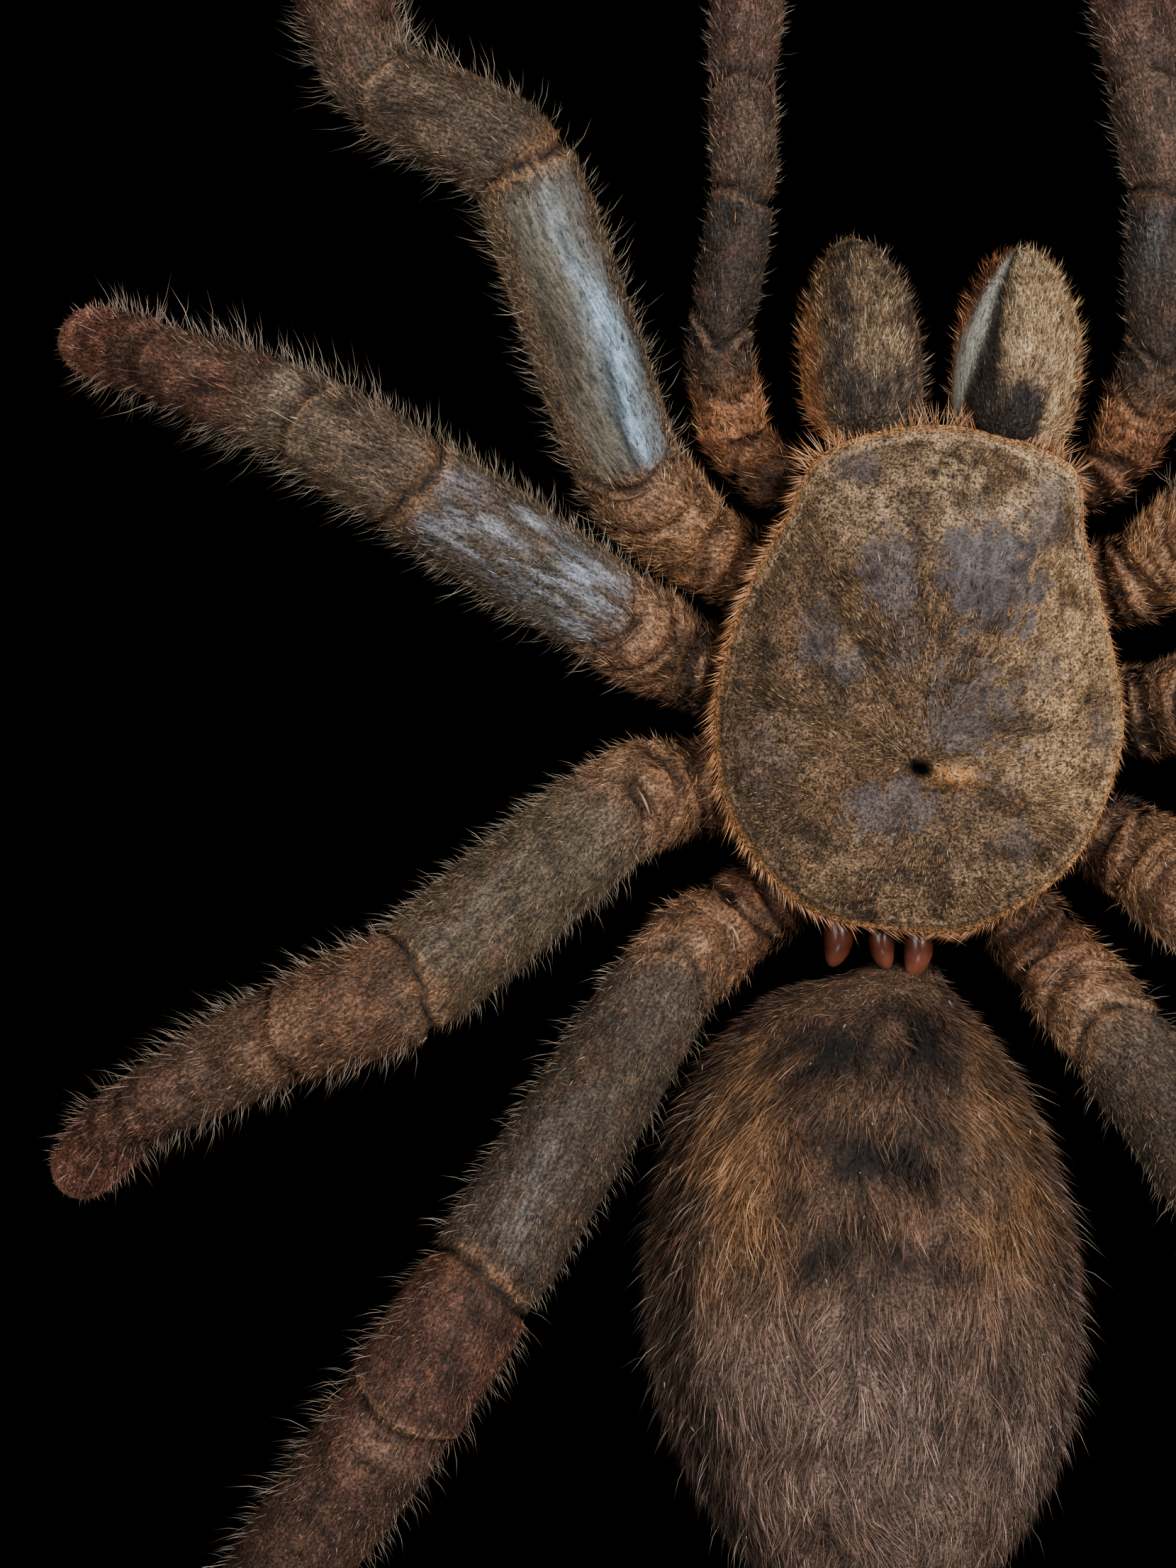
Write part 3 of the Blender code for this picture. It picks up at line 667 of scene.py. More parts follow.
def makeCrescent(name, limb, tube, finish):
    # the pale edge of the skin that is tucked in beside the swollen lobe, as a row of short pressed hairs;
    # their pale tint is partly a painted highlight along the slit's edge
    count = finish["crescentHairs"]
    across = np.linspace(-0.5, 0.12, count) * handOf(name)
    place, slant, bow = finish["folds"][-1][:3]
    start = np.interp(place, tube["run"][:, 0], tube["arc"])
    spots = onTube(tube, start - slant * across + bow * across ** 2, np.arccos(across))
    points = spots["point"] + spots["normal"] * 0.16
    lower = unit(np.gradient(points, axis=0))
    share = np.sin(np.linspace(0.1, math.pi - 0.1, count))
    tints = evenly("#f0c6a8" if limb["bare"] < 1.0 else "#c8977a", count) * share[:, None]
    return "straight", points, lower, lower, np.full(count, 0.34), 0.06 + 0.1 * share, tints


def makeLimb(name, limb, finish, seed):
    rng = np.random.default_rng(seed)
    finish = dict(finish, folds=finish["folds"] + [(limb["lobe"], *finish["lobeFold"])])
    tube = limbTube(limb["joints"], limb["radii"], finish)
    last = len(limb["joints"]) - 1
    rows = int(tube["arc"][-1] / (finish["step"] * 0.5))
    mesh, spots = tubeSkin(name + "_skin", tube, rows, finish["columns"])
    tint, bare = limbColours(name, limb, withFolds(spots, tube, finish), finish)
    ends = np.clip(spots["radius"] / 0.6, 0.0, 1.0)
    relief = (softNoise(spots["point"], 1.1) - 0.5) * 0.24
    for gap, depth, half, dark, pale in foldShapes(spots, finish):
        relief -= depth * bell(gap, half + 0.05)
        relief += 0.16 * pale * bell(gap + half + 0.2, 0.22)
    relief += 0.3 * lobeShare(name, spots)
    creases = np.sin(spots["arc"] * 6.0 + 7.0 * softNoise(spots["point"], 1.6)) * 0.1
    relief += creases * fade(spots["run"], 1.9, 2.2)
    points = spots["point"] + spots["normal"] * (relief * ends * (1.0 - 0.8 * bare))[:, None]
    pad = ramp(spots["run"], last - 1.3, last - 0.6)
    tint = tint * (0.66 + 0.34 * np.maximum(bare, 0.5 * pad))[:, None]
    finishSkin(mesh, points, tint, combSpace(spots, seed * 7.3, 0.2), bare, peltCuticle, name)

    def coverAt(spots, fuzz):
        bare = limbColours(name, limb, withFolds(spots, tube, finish), finish)[1]
        cover = furCover(spots, bare, finish)
        if fuzz:
            top = 0.22 + 0.78 * ramp(spots["up"], -0.65, -0.1)
            return top * cover * (1.0 - 0.6 * lobeShare(name, spots))
        edge = 0.12 + 0.88 * ramp(np.abs(spots["across"]), 0.55, 0.95)
        return edge * (spots["up"] > -0.75) * cover ** 2 * ramp(spots["run"], 0.8, 2.3)

    def scattered(kind):
        count = int(finish[kind] * (finish["palpShare"] if name.startswith("palp") else 1.0))
        spots = scatterOnTube(tube, count, rng, lambda spots: coverAt(spots, kind == "fuzz"))
        return (count, withFolds(spots, tube, finish), *limbColours(name, limb, spots, finish))

    count, fuzz, tint, bare = scattered("fuzz")
    folded = fade(fuzz["run"], 1.9, 2.2)
    swirl = (softNoise(fuzz["point"], 1.4) - 0.5) * (0.9 + 1.8 * folded)
    fuzz["sway"] = swirl[:, None] * fuzz["side"]
    clump = softNoise(fuzz["point"], 0.45)
    tilt = np.radians(np.clip(25.0 - 16.0 * bare + rng.normal(0, 10, count), 2.0, 60.0))
    lower, upper = combed(fuzz, tilt, 0.16 - 0.08 * bare[:, None], rng)
    lightness = np.exp(rng.normal(0.03, 0.7, count)) * (0.55 + 0.9 * clump) * (1.0 - 0.5 * bare)
    lightness = np.where(rng.random(count) < 0.05, lightness * 1.9, lightness)
    tint = blend(tint, "#a8784f", (rng.random(count) < 0.12) * 0.35)
    lengths = (0.22 + 0.34 * rng.random(count)) * (1.0 + 0.7 * folded)
    widths = finish["fuzzWidth"] * (0.7 + 0.6 * rng.random(count))
    groups = [("straight", fuzz["point"], lower, lower, lengths, widths, tint * lightness[:, None])]

    count, long, tint, bare = scattered("bristles")
    # partly painted light: the bristles, which stand mostly at the outline, are tinted pale for the light
    # they catch and let through
    tint = blend(tint, "#a3927f", np.full(count, 0.6)) * np.exp(rng.normal(0.1, 0.35, count))[:, None]
    tilt = np.radians(np.clip(rng.normal(62, 12, count), 25, 88))
    lower, upper = combed(long, tilt, 0.12, rng, bend=0.3)
    reach = 0.7 + 0.3 * ramp(long["run"], 2.6, 4.2)
    reach = reach * (1.0 - 0.7 * ramp(long["run"], last - 1.7, last - 0.9))
    lengths = limb["longest"] * reach * (0.25 + 0.3 * rng.random(count))
    lengths = np.where(rng.random(count) < 0.3, lengths * (1.3 + 0.6 * rng.random(count)), lengths)
    widths = finish["bristleWidth"] * (0.7 + 0.5 * rng.random(count))
    groups.append(("bent", long["point"], lower, upper, lengths, widths, tint))
    if name.startswith("leg"):
        groups.append(makeCrescent(name, limb, tube, finish))
    addHairs(name + "_hair", groups)


for number, (limbName, limbShape) in enumerate(limbs.items()):
    makeLimb(limbName, limbShape, limbFinish, 20 + number)
print("legs and palps: skins and pelts")


# Abdomen: rings as (y, middle x, middle z, half width, half height), as in the part

abdomen = {
    "rings": [(-6.9, -0.2, 6.0, 1.1, 1.1), (-8.6, -0.5, 6.2, 1.4, 1.3), (-9.6, -1.1, 7.2, 2.4, 2.2),
              (-10.2, -2.2, 8.3, 4.1, 4.2), (-11.7, -2.7, 8.7, 6.0, 5.9), (-14.3, -2.9, 9.0, 7.9, 7.3),
              (-17.3, -2.8, 9.2, 9.3, 8.1), (-21.4, -2.6, 9.4, 10.3, 8.6), (-25.9, -2.4, 9.4, 10.6, 8.7),
              (-30.0, -2.2, 9.2, 10.1, 8.4), (-34.0, -2.0, 8.8, 8.7, 7.6), (-37.5, -1.9, 8.3, 6.4, 6.3),
              (-40.0, -1.8, 7.7, 3.8, 4.3), (-41.2, -1.8, 7.3, 1.9, 2.3), (-41.7, -1.8, 7.3, 0.02, 0.02)],
    "furDepth": 0.55,
    "hairs": {"bent": 13500, "straight": 13000},
    "middleX": -2.2, "barMiddleX": -1.6,
    "grid": (110, 72),
    "hairWidth": 0.04, "outlierWidth": 0.036,
    "outliers": 260,    # long bristles that stand out at the sides
    "dust": 60,         # pale specks caught in the hair
    # dark bars: middle, half length, half width, strength
    "bars": [(-12.4, 2.3, 5.4, 1.0), (-17.3, 1.8, 4.0, 1.0), (-22.3, 1.0, 5.0, 0.8),
             (-26.8, 0.6, 4.5, 0.4)],
    "spinnerets": [(-3.1, -39.6, 6.0, -0.22), (-0.5, -39.6, 6.0, 0.22)],
    "spinneretLength": 6.6, "spinneretRadius": 0.78, "spinneretGrid": (48, 20), "spinneretHairs": 900,
}


def smoothRows(rows, parts):
    rows = np.array(rows, float)
    padded = np.concatenate([rows[:1] * 2 - rows[1:2], rows, rows[-1:] * 2 - rows[-2:-1]])
    found = []
    for k in range(1, len(padded) - 2):
        a, b, c, d = padded[k - 1:k + 3]
        for t in np.arange(parts) / parts:
            found.append(0.5 * (2 * b + (c - a) * t + (2 * a - 5 * b + 4 * c - d) * t * t
                                + (3 * b - a - 3 * c + d) * t ** 3))
    found.append(rows[-1])
    return np.array(found)


def abdomenColours(spots):
    x, y = spots["point"][:, 0], spots["point"][:, 1]
    broad = softNoise(spots["point"], 3.0)
    fine = softNoise(spots["point"] * (1.0, 0.3, 1.0), 0.5)
    across = np.abs(x - abdomen["middleX"])
    golden = ramp(across, 2.5, 6.0) * (1.0 - 0.6 * ramp(across, 7.0, 9.5)) * ramp(-y, 10.0, 12.5)
    colours = paint(
        evenly("#85614a", len(x)),
        ("#a2744c", golden * fade(-y, 22.0, 30.0) * (0.5 + 0.5 * broad)),
        ("#917568", ramp(-y, 20.0, 29.0) * (0.55 + 0.45 * broad)),
        ("#67503f", ramp(softNoise(spots["point"] + 50.0, 2.0), 0.5, 0.8) * 0.6),
        ("#8a684e", fade(-y, 10.6, 11.3)),
        ("#2f2119", ramp(softNoise(spots["point"] + 90.0, 4.2), 0.55, 0.8) * 0.28))
    offset = np.abs(x - abdomen["barMiddleX"])
    for middle, halfLength, halfWidth, strength in abdomen["bars"]:
        gap = (y - middle + offset * 0.25 + (broad - 0.5) * 1.4) / halfLength
        share = np.exp(-gap ** 2) * fade(offset, halfWidth * 0.6, halfWidth * 1.5) * strength
        share = share * (0.5 + 0.5 * ramp(softNoise(spots["point"] + 60.0, 1.4), 0.3, 0.55))
        colours = blend(colours, "#170d08", share)
    return paint(
        colours,
        # painted shade: both flanks darker, the left one most, as the light falls from the right
        ("#2e1f17", ramp(-spots["across"], 0.68, 0.92) * 0.85),
        ("#3c2a1f", ramp(spots["across"], 0.8, 0.98) * 0.7),
        ("#110d0d", blob(x, y, (-11.0, -25.0), 0.5, 1.3) * 0.8),
        (None, 0.4 + 1.2 * fine),
        # painted shadow: the front of the abdomen is near black where it lies under the carapace
        ("#0c0705", fade(-y, 8.9, 9.5)))


def makeAbdomen(shape, seed):
    rng = np.random.default_rng(seed)
    rows = smoothRows(shape["rings"], 6)
    centres = triples(rows[:, 1], rows[:, 0], rows[:, 2] + boardTop)
    slim = shape["furDepth"] * np.clip((rows[:, 3] - 1.4) / 3.0, 0.0, 1.0)
    widths = np.maximum(rows[:, 3] - slim, 0.02)
    heights = np.maximum(rows[:, 4] - slim, 0.02)
    for end in (0, -1):
        widths[end] = heights[end] = 0.0
    tube = makeTube(centres, widths, heights, rows[:, 0], fixedFrame=True)
    mesh, spots = tubeSkin("abdomen_skin", tube, *shape["grid"])
    relief = (softNoise(spots["point"], 2.2) - 0.5) * 0.3 * np.clip(spots["radius"] / 3.0, 0.0, 1.0)
    finishSkin(mesh, spots["point"] + spots["normal"] * relief[:, None], abdomenColours(spots) * 0.45,
               combSpace(spots, 3.1), np.zeros(len(relief)), peltCuticle, "abdomen")

    def density(spots):
        return (0.25 + 0.75 * ramp(spots["up"], -0.75, -0.2)) * ramp(-spots["point"][:, 1], 8.4, 9.2)

    groups = []
    for kind, count in shape["hairs"].items():
        hair = scatterOnTube(tube, count, rng, density)
        back = -hair["point"][:, 1]
        clump = softNoise(hair["point"] * (1.0, 0.4, 1.0), 0.8)
        tuft = softNoise(hair["point"] + 17.0, 0.45)
        across = hair["point"][:, 0] - shape["middleX"]
        swirl = (softNoise(hair["point"], 1.9) - 0.5) * 1.3 + (clump - 0.5) * 1.3 + (tuft - 0.5) * 1.0
        sway = across * 0.085 * fade(back, 12.0, 30.0) + swirl
        hair["sway"] = triples(sway, np.zeros(count), np.zeros(count))
        flank = ramp(np.abs(hair["across"]), 0.8, 1.0)
        tilt = np.radians(np.clip(rng.normal(17, 8, count) + 18 * flank, 4, 60))
        lower, upper = combed(hair, tilt, 0.15, rng, bend=0.5)
        lightness = np.exp(rng.normal(0.14, 0.48, count)) * (0.25 + 0.9 * clump + 0.6 * tuft)
        tint = abdomenColours(hair) * lightness[:, None]
        golden = rng.random(count) < 0.07 + 0.07 * ramp(np.abs(across), 3.0, 8.0)
        golden = golden * (0.2 + 0.4 * rng.random(count)) * (1.0 - 0.8 * flank)
        tint = blend(tint, "#9c7850", golden * ramp(back, 10.5, 12.0))
        long = 1.1 + 1.3 * rng.random(count) if kind == "bent" else 0.6 + 0.6 * rng.random(count)
        lengths = long * (0.55 + 0.45 * ramp(back, 10.0, 15.0)) * (1.0 - 0.25 * flank)
        widths = shape["hairWidth"] * (0.7 + 0.6 * rng.random(count))
        groups.append((kind, hair["point"], lower, upper, lengths, widths, tint))

    count = shape["outliers"]
    edge = scatterOnTube(tube, count, rng,
                         lambda spots: ramp(np.abs(spots["across"]), 0.6, 0.95) * (spots["up"] > -0.5)
                         * ramp(-spots["point"][:, 1], 12.0, 15.0))
    lower, upper = combed(edge, np.radians(rng.normal(46, 10, count)), 0.12, rng, bend=0.4)
    # partly painted light: these outline bristles are tinted pale for the light they catch and let through
    groups.append(("bent", edge["point"], lower, upper, 1.4 + 1.4 * rng.random(count),
                   np.full(count, shape["outlierWidth"]),
                   toLinear("#9a8b7c") * np.exp(rng.normal(0, 0.3, (count, 1)))))
    count = shape["dust"]
    dust = scatterOnTube(tube, count, rng, lambda spots: (spots["up"] > 0.3) * 1.0)
    lower, upper = combed(dust, np.radians(rng.normal(10, 8, count)), 0.5, rng)
    groups.append(("straight", dust["point"] + dust["normal"] * 0.55, lower, lower,
                   0.12 + 0.3 * rng.random(count) ** 2, 0.05 + 0.05 * rng.random(count),
                   evenly("#cdbfae", count) * (0.6 + 0.6 * rng.random((count, 1)))))
    addHairs("abdomen_hair", groups)


def makeSpinneret(name, shape, place, lean, seed):
    axis = unit(np.array([[lean, -1.0, -0.18]]))[0]
    root = np.array(place) + (0.0, 0.0, boardTop)
    shares = np.linspace(0.0, 1.0, 24)
    blunt = np.clip((shares - 0.55) / 0.45, 0, 1)
    sizes = shape["spinneretRadius"] * np.sqrt(np.clip(1.0 - blunt ** 2, 0, 1))
    sizes = sizes * (1.0 - 0.08 * bell(shares - 0.45, 0.03)) * np.clip(shares * 20, 0, 1)
    centres = [root + axis * share * shape["spinneretLength"] for share in shares]
    tube = makeTube(centres, sizes, sizes, shares)
    mesh, spots = tubeSkin(name, tube, *shape["spinneretGrid"])
    tint = toLinear("#5b3d2c") * (0.6 + 0.8 * softNoise(spots["point"], 0.5)[:, None])
    finishSkin(mesh, spots["point"], tint, combSpace(spots, 9.0), np.zeros(len(tint)), peltCuticle)
    rng = np.random.default_rng(seed)
    count = shape["spinneretHairs"]
    hair = scatterOnTube(tube, count, rng, lambda spots: ramp(spots["run"], 0.2, 0.4))
    lower, upper = combed(hair, np.radians(rng.normal(32, 8, count)), 0.12, rng)
    tint = toLinear("#7a5a45") * np.exp(rng.normal(0.0, 0.35, (count, 1)))
    addHairs(name + "_hair", [("straight", hair["point"], lower, lower, 0.4 + 0.4 * rng.random(count),
                               np.full(count, 0.06), tint)])


makeAbdomen(abdomen, 41)
for number, (*place, lean) in enumerate(abdomen["spinnerets"]):
    makeSpinneret(f"spinneret_{number}", abdomen, place, lean, 43 + number)
print("abdomen: skin and combed hair")


# Chelicerae: (middle x, y of the root, lean in x, half width, half height), as in the part

chelicerae = {
    # the right chelicera's golden stops and the left one's darker stops are partly their own colour and
    # partly painted light and shade, as the light falls from the right
    "chelicera_left": {"place": (-2.45, 17.3, -0.35, 3.2, 4.1), "band": None, "patch": (0.3, 0.75, 0.7),
                       "stops": [(-1.0, "#7d5a3e"), (-0.8, "#755b41"), (-0.62, "#6b5540"), (-0.35, "#4a3d34"),
                                 (-0.1, "#7d654d"), (0.5, "#8c7054"), (0.85, "#6f5845"), (1.0, "#5b4636")]},
    "chelicera_right": {"place": (4.75, 16.9, 0.55, 3.4, 4.0), "band": -1.0, "patch": (0.12, 0.5, 0.95),
                        "stops": [(-1.0, "#7c4a2c"), (-0.8, "#6b4a34"), (-0.45, "#8a7055"), (-0.1, "#a98a66"),
                                  (0.3, "#c7a078"), (0.75, "#c49c70"), (0.9, "#9b7350"), (1.0, "#7d5a3e")]},
}
cheliceraFinish = {
    "length": 8.6, "height": 9.6, "drop": 2.6, "furDepth": 0.35,
    "neck": 0.15,    # the root goes on under the front edge of the carapace
    "shape": [(-0.15, 0.5), (0.0, 0.9), (0.2, 0.99), (0.45, 0.98), (0.68, 0.82), (0.85, 0.6), (0.96, 0.32),
              (1.0, 0.005)],
    "grid": (70, 48),
    # count, tilt, shortest, spread of lengths, width
    "hairs": {"straight": (7000, 20, 0.24, 0.28, 0.046), "bent": (800, 56, 0.45, 0.5, 0.036)},
}


def cheliceraColours(shape, spots):
    across, run = spots["across"], spots["run"]
    broad = softNoise(spots["point"], 1.8)
    fine = softNoise(spots["point"] * (1.0, 0.5, 1.0), 0.35)
    patchMiddle, patchHalf, patchStrength = shape["patch"]
    patch = fade(run + (broad - 0.5) * 0.2, 0.14, 0.3)
    patch = patch * fade(np.abs(across - patchMiddle), patchHalf - 0.25, patchHalf)
    colours = paint(
        alongPalette(across + (broad - 0.5) * 0.3, shape["stops"]),
        ("#b07044", ramp(-across, 0.6, 0.9) * fade(run, 0.4, 0.75) * 0.8),
        ("#2c2526", patch * patchStrength),
        (None, 0.25 + 1.4 * fine))
    bare = np.zeros(len(across))
    if shape["band"] is not None:
        line = shape["band"] + 0.5 * run
        half = 0.05 + 0.13 * np.sin(math.pi * np.clip(run, 0.0, 1.0))
        top = ramp(spots["up"], -0.05, 0.05)
        bare = np.exp(-((across - line) / half) ** 4) * top * fade(run, 0.92, 0.99)
        width = 0.1 + 0.75 * np.clip(1.0 - run, 0.0, 1.0) ** 2
        edge = line + half
        shadow = ramp(across, line, edge) * fade(across, edge + width * 0.7, edge + width * 1.2)
        colours = paint(colours, ("#16100d", shadow * top * 0.92), ("#a29d90", bare))
    return colours, bare


def makeChelicera(name, shape, finish, seed):
    rng = np.random.default_rng(seed)
    middleX, rootY, lean, halfWidth, halfHeight = shape["place"]
    shares = 1.0 - (1.0 + finish["neck"]) * (1.0 - np.linspace(0.0, 1.0, 64)) ** 1.4
    table = smoothRows(finish["shape"], 8)
    sizes = np.interp(shares, table[:, 0], table[:, 1])
    centres = triples(middleX + lean * shares, rootY + finish["length"] * shares,
                      boardTop + finish["height"] - finish["drop"] * shares ** 2)
    slim = 1.0 - finish["furDepth"] / halfWidth
    widths = sizes * halfWidth * slim
    heights = sizes * halfHeight * slim
    for end in (0, -1):
        widths[end] = heights[end] = 0.0
    tube = makeTube(centres, widths, heights, shares, fixedFrame=True)
    mesh, spots = tubeSkin(name + "_skin", tube, *finish["grid"])
    tint, bare = cheliceraColours(shape, spots)
    tint = tint * (0.6 + 0.4 * bare)[:, None]
    finishSkin(mesh, spots["point"], tint, combSpace(spots, seed), bare, peltCuticle, name)

    def density(spots):
        bare = cheliceraColours(shape, spots)[1]
        return (0.3 + 0.7 * ramp(spots["up"], -0.6, 0.0)) * fade(bare, 0.02, 0.3)

    groups = []
    for kind, (count, tilt, shortest, spread, width) in finish["hairs"].items():
        hair = scatterOnTube(tube, count, rng, density)
        hair["sway"] = (softNoise(hair["point"], 1.2)[:, None] - 0.5) * hair["side"] * 0.8
        lower, upper = combed(hair, np.radians(rng.normal(tilt, 8, count)), 0.12, rng, bend=0.2)
        clump = softNoise(hair["point"] * (1.0, 0.5, 1.0), 0.4)
        lightness = np.exp(rng.normal(0.12, 0.8, count)) * (0.3 + 1.4 * clump)
        tint = cheliceraColours(shape, hair)[0] * lightness[:, None]
        lengths = shortest + spread * rng.random(count)
        widths = width * (0.7 + 0.6 * rng.random(count))
        groups.append((kind, hair["point"], lower, upper, lengths, widths, tint))
    addHairs(name + "_hair", groups)


for number, (partName, partShape) in enumerate(chelicerae.items()):
    makeChelicera(partName, partShape, cheliceraFinish, 51 + number)
print("chelicerae: skins and fuzz")


# Carapace: the rim seen from above and the heights, as in the part

carapace = {
    "rim": [(-4.2, 15.6), (1.3, 16.8), (7.3, 15.0), (8.2, 11.3), (9.7, 5.3), (9.9, 1.1), (7.7, -4.1),
            (3.5, -7.1), (0.0, -7.5), (-5.1, -6.4), (-8.7, -2.3), (-9.6, 2.6), (-8.5, 7.9), (-6.3, 12.2)],
    "centre": (0.6, 3.5),
    "topRows": 96, "lipRows": 5, "columns": 240,
    "lipReach": 0.24, "edgeDrop": 0.45,
    "skinDepth": 0.12, "rootDepth": 0.14,    # under the solid's top
    "rimHeight": 9.8, "frontRise": 2.2, "dome": 3.6,
    "headRise": 1.5, "headCentre": (0.9, 9.6),
    "fovea": (0.2, 0.35),     # the hollow in the middle
    "lump": (1.9, -0.05),     # the golden lump beside it
    "furrows": (-2.6, -1.95, -1.2, -0.5, 0.25, 0.95, 2.05, 2.75, 3.0),    # their angles round the hollow
    "eyes": (2.0, 14.6),
    "eyePlaces": ((-0.75, 0.25), (0.75, 0.15), (-0.3, -0.35), (0.4, -0.4), (0.05, 0.5), (-1.15, -0.2)),
    # slate-grey places where the down is rubbed off: centre, half sizes, strength
    "rubbed": [((3.4, 9.5), 2.9, 3.1, 1.0), ((-1.3, 10.0), 1.5, 1.9, 0.85), ((-2.9, 15.0), 1.6, 1.1, 0.75),
               ((6.4, 12.1), 1.1, 2.0, 0.8), ((9.0, 2.1), 0.7, 1.3, 0.7), ((2.7, 3.2), 2.3, 2.7, 0.75),
               ((-1.2, -1.5), 2.6, 1.4, 0.75), ((-4.6, 6.9), 1.1, 1.4, 0.65), ((-2.9, 5.2), 1.2, 0.9, 0.6),
               ((6.0, 5.1), 1.1, 1.4, 0.5), ((5.1, -3.1), 1.1, 1.4, 0.55), ((-0.6, 6.6), 1.0, 2.6, 0.55),
               ((-7.2, 0.3), 1.2, 2.2, 0.35)],
    "down": 17000, "downWidth": 0.05, "slopeStep": 0.05,
    "fringe": 3200, "fringeWidth": 0.055,
    "wall": [(0.0, 1.3), (0.25, 1.3), (0.45, 1.3), (0.55, 1.7), (0.62, 2.2), (0.66, 3.4), (0.70, 4.6),
             (0.72, 6.7), (0.74, 8.8)],
}


def rimPlace(turn):
    rim = np.array(carapace["rim"])
    place = (turn % 1.0) * len(rim)
    start = np.floor(place).astype(int)
    t = (place - start)[:, None]
    a, b, c, d = (rim[(start + k) % len(rim)] for k in (-1, 0, 1, 2))
    curve = (2 * a - 5 * b + 4 * c - d) * t * t + (3 * b - a - 3 * c + d) * t ** 3
    return 0.5 * (2 * b + (c - a) * t + curve)


def rimLevel(y):
    return carapace["rimHeight"] + carapace["frontRise"] * ramp(y, 4.0, 15.0)


def fromFovea(x, y):
    foveaX, foveaY = carapace["fovea"]
    return np.hypot(x - foveaX, y - foveaY), np.arctan2(y - foveaY, x - foveaX)


def carapaceLevel(x, y, share):
    height = rimLevel(y) + carapace["dome"] * np.clip(1.0 - share ** 2.4, 0.0, 1.0) ** 0.8
    height += carapace["headRise"] * blob(x, y, carapace["headCentre"], 4.8, 5.4) * (1.0 - share ** 4)
    foveaX, foveaY = carapace["fovea"]
    height -= 0.8 * blob(x, y, (0.9, 0.0), 1.6, 1.0)
    height -= 1.3 * np.exp(-(((x - foveaX) / 0.5) ** 2 + ((y - foveaY) / 0.34) ** 2) ** 2)
    height -= 0.5 * blob(x, y, (foveaX + 1.0, foveaY - 0.85), 0.9, 0.2)
    height += 0.6 * blob(x, y, carapace["lump"], 0.85, 0.45)
    height += 0.5 * blob(x, y, carapace["eyes"], 1.4, 1.0)
    reach, angle = fromFovea(x, y)
    for furrow in carapace["furrows"]:
        gap = np.angle(np.exp(1j * (angle - furrow)))
        groove = bell(gap * reach, 0.45) * ramp(reach, 1.0, 3.0)
        height -= 0.2 * groove * fade(share, 0.6, 0.9)
    return height


def carapaceColours(x, y, share):
    spot = onFlat(x, y)
    foveaX, foveaY = carapace["fovea"]
    reach, angle = fromFovea(x, y)
    angle = angle + (softNoise(spot + 7.0, 2.2) - 0.5) * 0.9
    radial = softNoise(triples(np.cos(angle) * 7.0, np.sin(angle) * 7.0, reach * 0.16), 0.7)
    broad = softNoise(spot + 40.0, 2.4)
    fine = softNoise(spot + 80.0, 0.5)
    mottle = softNoise(spot + 120.0, 1.2)
    crumb = softNoise(spot + 160.0, 0.28)
    speckle = softNoise(spot + 200.0, 0.16)
    grain = 0.3 * radial + 0.25 * fine + 0.25 * crumb + 0.2 * speckle
    colours = paint(
        evenly("#6f543c", len(x)),
        # partly painted light: the right side is golden and the left side darker, partly the down's own
        # colour and partly as the light falls from the right
        ("#ad875f", ramp(x + (broad - 0.5) * 3, 2.0, 8.0) * 0.9),
        ("#a88868", ramp(y, 9.0, 14.0) * 0.75),
        ("#5f4936", ramp(-x, 3.0, 8.0) * 0.5),
        ("#85694f", ramp(-y, 1.5, 5.0) * 0.6),
        ("#33251b", ramp(mottle, 0.5, 0.85) * 0.7),
        ("#7d5633", ramp(softNoise(spot + 240.0, 0.9), 0.55, 0.8) * 0.3),
        (None, 0.02 + 1.96 * grain),
        ("#120c08", ramp(speckle + 0.4 * (fine - 0.5), 0.68, 0.85) * 0.75))
    rubbed = np.zeros(len(x))
    for centre, halfX, halfY, strength in carapace["rubbed"]:
        edge = blob(x, y, centre, halfX, halfY) + (fine - 0.5) * 0.5 + (radial - 0.5) * 0.6
        rubbed = np.maximum(rubbed, ramp(edge + (crumb - 0.5) * 0.5, 0.34, 0.62) * strength)
    rubbed *= fade(share, 0.93, 0.99)
    slate = evenly("#4b4343", len(x)) * (0.4 + 1.2 * radial)[:, None]
    colours = colours + (slate - colours) * (rubbed * 0.92)[:, None]
    edging = ramp(broad + 0.25 * ramp(y, 8.0, 14.0), 0.35, 0.75)
    groove = bell(share - 0.93, 0.012) * ramp(mottle, 0.3, 0.6)
    ridge = bell(share - 0.96, 0.013)
    lump = blob(x, y, carapace["lump"], 0.95, 0.45)
    pit = ((x - foveaX) / 0.62) ** 2 + ((y - foveaY + 0.35 * (x - foveaX)) / 0.38) ** 2
    colours = paint(
        colours,
        ("#2a1c12", groove * 0.45),
        ("#bb9772", ridge * edging * (0.55 + 0.35 * ramp(y, 12.5, 14.5))),
        ("#c08855", ramp(share, 0.965, 0.99) * 0.85),
        ("#cc8c50", lump),
        ("#e0b285", lump * ramp(crumb, 0.55, 0.75) * 0.8),
        ("#060404", np.exp(-pit ** 2)),
        ("#0c0806", blob(x, y, (foveaX + 0.9, foveaY - 1.0), 1.0, 0.16) * 0.85),
        ("#0c0806", blob(x, y, (1.25, 6.65), 0.34, 0.3)))
    for eyeX, eyeY in carapace["eyePlaces"]:
        reach = np.hypot(x - carapace["eyes"][0] - eyeX, y - carapace["eyes"][1] - eyeY)
        ring = bell(reach - 0.38, 0.14) * ramp(fine, 0.25, 0.5)
        colours = paint(colours, ("#bb9a70", ring * 0.65), ("#0e0907", bell(reach, 0.28)))
    dusk = ramp(softNoise(spot * 2.4 + 11.0, 1.0), 0.6, 0.8) * blob(x, y, carapace["eyes"], 1.9, 1.1)
    return blend(colours, "#3c2a1c", dusk), rubbed


